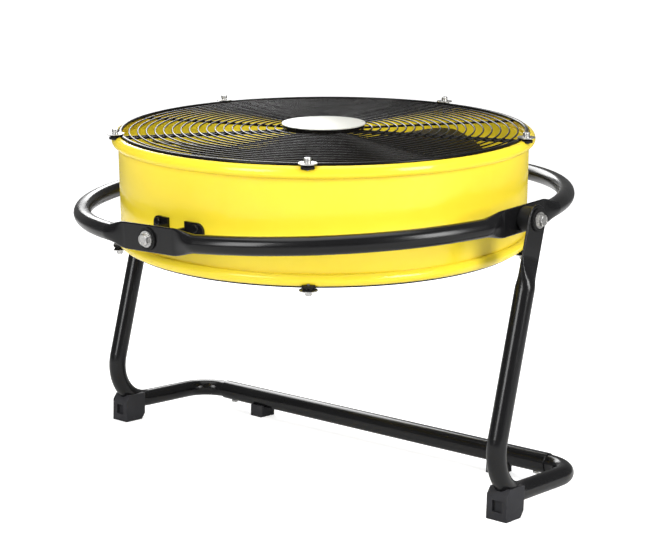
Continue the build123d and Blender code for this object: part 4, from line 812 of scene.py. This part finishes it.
drum_turn = drum_at.to_euler()
laminations = layered("laminations", ((0.10, 0.10, 0.11, 1), (0.26, 0.25, 0.24, 1)), (0.35, 0.55), 320.0,
                      0.0001, drum_turn, 1.0)
copper = layered("copper", ((0.30, 0.10, 0.035, 1), (0.62, 0.27, 0.12, 1)), (0.22, 0.4), 220.0,
                 0.0003, drum_turn, 0.6)
dress(laminations, "motor_stator", "motor_rotor")
dress(copper, "motor_windings")

FIN_COUNT = 28
FIN_AT = 0.064          # from the motor's axis to a fin's middle
FIN_OUT = 0.0022        # half of how far it reaches outwards, and its thickness
FIN_LONG = 0.72         # its length as a share of the bell's
FIN_TAPER = (1, 0.55, 0.86)
fins = []
for bell in ("motor_rear_bell", "motor_front_bell"):
    low, high = local_reach(bell, drum_at)
    middle = (FIN_AT, 0, (low + high) / 2)
    fin = add_part("cube", size=1.0, location=middle, scale=(2 * FIN_OUT, FIN_OUT, (high - low) * FIN_LONG))
    select_faces(fin, lambda at, normal: normal.x > 0.9)
    bpy.ops.transform.resize(value=FIN_TAPER, center_override=middle)
    bpy.ops.object.mode_set(mode="OBJECT")
    fins += [copy_part(fin, Matrix.Rotation(2 * pi / FIN_COUNT * i, 4, "Z")) for i in range(FIN_COUNT)]
    bpy.data.objects.remove(fin)
finish_part(join_parts(fins), "motor_cooling_fins", "drum", enamel, drum_at)


# ------------------------------------------------------------------ fan
# Three pressed sheet blades, coated black, are riveted to the arms of a steel spider on a cast hub
# that a set screw holds on the motor's shaft.

blade_coat = powder_coat("blade_coat", ((0.006, 0.006, 0.0065, 1), (0.010, 0.010, 0.0105, 1)),
                         worn=(0.09, 0.09, 0.09, 1), gloss=(0.30, 0.42), peel=350.0, depth=0.00004,
                         wear=0.001, Specular_IOR_Level=0.2)
cast = bare_metal("cast_aluminium", ((0.50, 0.50, 0.51, 1), (0.64, 0.64, 0.65, 1)), rough=(0.4, 0.6),
                  crystals=1400.0, depth=0.0001)
dress(blade_coat, "fan_blade_1", "fan_blade_2", "fan_blade_3", "fan_spider")
dress(cast, "fan_hub")
dress(zinc, "blade_rivets", "hub_set_screw")


# ------------------------------------------------------------------ control box
# Moulded black box on the drum's wall, on the far side, with the switch and a pale run capacitor
# inside. A fluted knob turns over a printed dial with plain numbers; a threaded inlet points down.

box_plastic = moulded("black_plastic", ((0.014, 0.014, 0.015, 1), (0.022, 0.022, 0.023, 1)),
                      worn=(0.05, 0.05, 0.05, 1), rough=(0.38, 0.5), cells=1300.0, depth=0.00003,
                      wear=0.0008)
pale_case = moulded("capacitor_case", ((0.62, 0.62, 0.58, 1), (0.70, 0.70, 0.66, 1)),
                    worn=(0.8, 0.8, 0.78, 1), rough=(0.25, 0.4), cells=900.0, depth=0.00002, wear=0.0008)
dress(box_plastic, "control_box", "speed_switch", "cable_gland", "lead_clips")
dress(pale_case, "run_capacitor")
dress(zinc, "control_box_screws")

FLUTES = 20
KNOB_R = 0.0140
KNOB_H = 0.0090
KNOB_TOP = 0.0018       # from the knob's top to the end of its fluted side
FLUTE_IN = 0.93         # share of the radius that is left in a flute
FLUTE_EDGE = 0.0003
CROWN_W, CROWN_H = 0.0014, 0.0008   # the raised step round the top, then the sunk face within it
FACE_W, FACE_SUNK = 0.0020, 0.0005
STEM_R = 0.003
STEM_IN = 0.001         # how far the stem goes up into the knob
POINTER_AT, POINTER_L = 0.55 * KNOB_R, 0.72 * KNOB_R
POINTER_W, POINTER_H = 0.0022, 0.0020
DIAL_R = 0.0192         # circle of the numbers
DIGIT = 0.0052          # their height, and the thickness of the print
PRINT = 0.00012

knob_out = Vector(joints["speed_knob_turn"]["axis"])
knob_at = (Matrix.Translation(joints["speed_knob_turn"]["pos_m"])
           @ Matrix((-drum_z, knob_out.cross(-drum_z), knob_out)).transposed().to_4x4())
knob_low, knob_high = local_reach("speed_knob", knob_at)
grip_low = knob_high - KNOB_TOP - KNOB_H
knob = add_part("cylinder", vertices=2 * FLUTES, radius=KNOB_R, depth=KNOB_H,
                location=(0, 0, grip_low + KNOB_H / 2))
flute = 2 * pi / (2 * FLUTES)
select_faces(knob, lambda at, normal: (abs(normal.z) < 0.5
                                       and int((atan2(at.y, at.x) + pi) / flute) % 2 == 0))
bpy.ops.mesh.inset(thickness=FLUTE_EDGE, use_individual=True)
bpy.ops.transform.resize(value=(FLUTE_IN, FLUTE_IN, 1.0), center_override=(0, 0, grip_low + KNOB_H / 2))
bpy.ops.object.mode_set(mode="OBJECT")
select_faces(knob, lambda at, normal: normal.z > 0.9)
bpy.ops.mesh.inset(thickness=CROWN_W)
bpy.ops.transform.translate(value=(0, 0, CROWN_H))
bpy.ops.mesh.inset(thickness=FACE_W)
bpy.ops.transform.translate(value=(0, 0, -FACE_SUNK))
bpy.ops.object.mode_set(mode="OBJECT")
use_modifier(knob, "BEVEL", width=0.0003, segments=2, limit_method="ANGLE", angle_limit=radians(40))
stem_high = grip_low + STEM_IN
stem = add_part("cylinder", vertices=32, radius=STEM_R, depth=stem_high - knob_low,
                location=(0, 0, (stem_high + knob_low) / 2))
knob = join_parts([knob, stem])
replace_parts(finish_part(knob, "fluted_knob", "knob", box_plastic, knob_at), "speed_knob")

dial_print = moulded("dial_print", ((0.76, 0.76, 0.73, 1), (0.84, 0.84, 0.81, 1)),
                     worn=(0.5, 0.5, 0.5, 1), rough=(0.4, 0.5), cells=2500.0, depth=0.00001, wear=0.0002)
pointer = add_part("cube", size=1.0, location=(POINTER_AT, 0, knob_high - POINTER_H / 2),
                   scale=(POINTER_L, POINTER_W, POINTER_H))
use_modifier(pointer, "BEVEL", width=0.0004, segments=2, limit_method="ANGLE", angle_limit=radians(40))
finish_part(pointer, "knob_pointer", "knob", dial_print, knob_at)

digits = []
for number in range(4):     # one for each of the switch's positions
    turn = radians(45 * number)
    bpy.ops.object.select_all(action="DESELECT")
    bpy.ops.object.text_add()
    digit = bpy.context.active_object
    digit.data.body = str(number)
    digit.data.size = DIGIT
    digit.data.extrude = PRINT / 2
    digit.data.align_x = "CENTER"
    digit.data.align_y = "CENTER"
    bpy.ops.object.convert(target="MESH")
    upright_digit = Matrix.Translation((DIAL_R * cos(turn), DIAL_R * sin(turn), PRINT / 2))
    digit.data.transform(upright_digit @ Matrix.Rotation(pi / 2, 4, "Z"))
    digits.append(digit)
finish_part(join_parts(digits), "dial_numbers", "drum", dial_print, knob_at)


# ------------------------------------------------------------------ lead
# Round sheathed lead from the motor to the control box, clipped to a mount bar and led through a
# rubber sleeve in the drum's wall.

sheath = moulded("lead_sheath", ((0.010, 0.010, 0.010, 1), (0.018, 0.018, 0.018, 1)),
                 worn=(0.03, 0.03, 0.03, 1), rough=(0.45, 0.6), cells=1600.0, depth=0.00002, wear=0.0004)
dress(sheath, "motor_lead")
dress(seal, "lead_grommet")
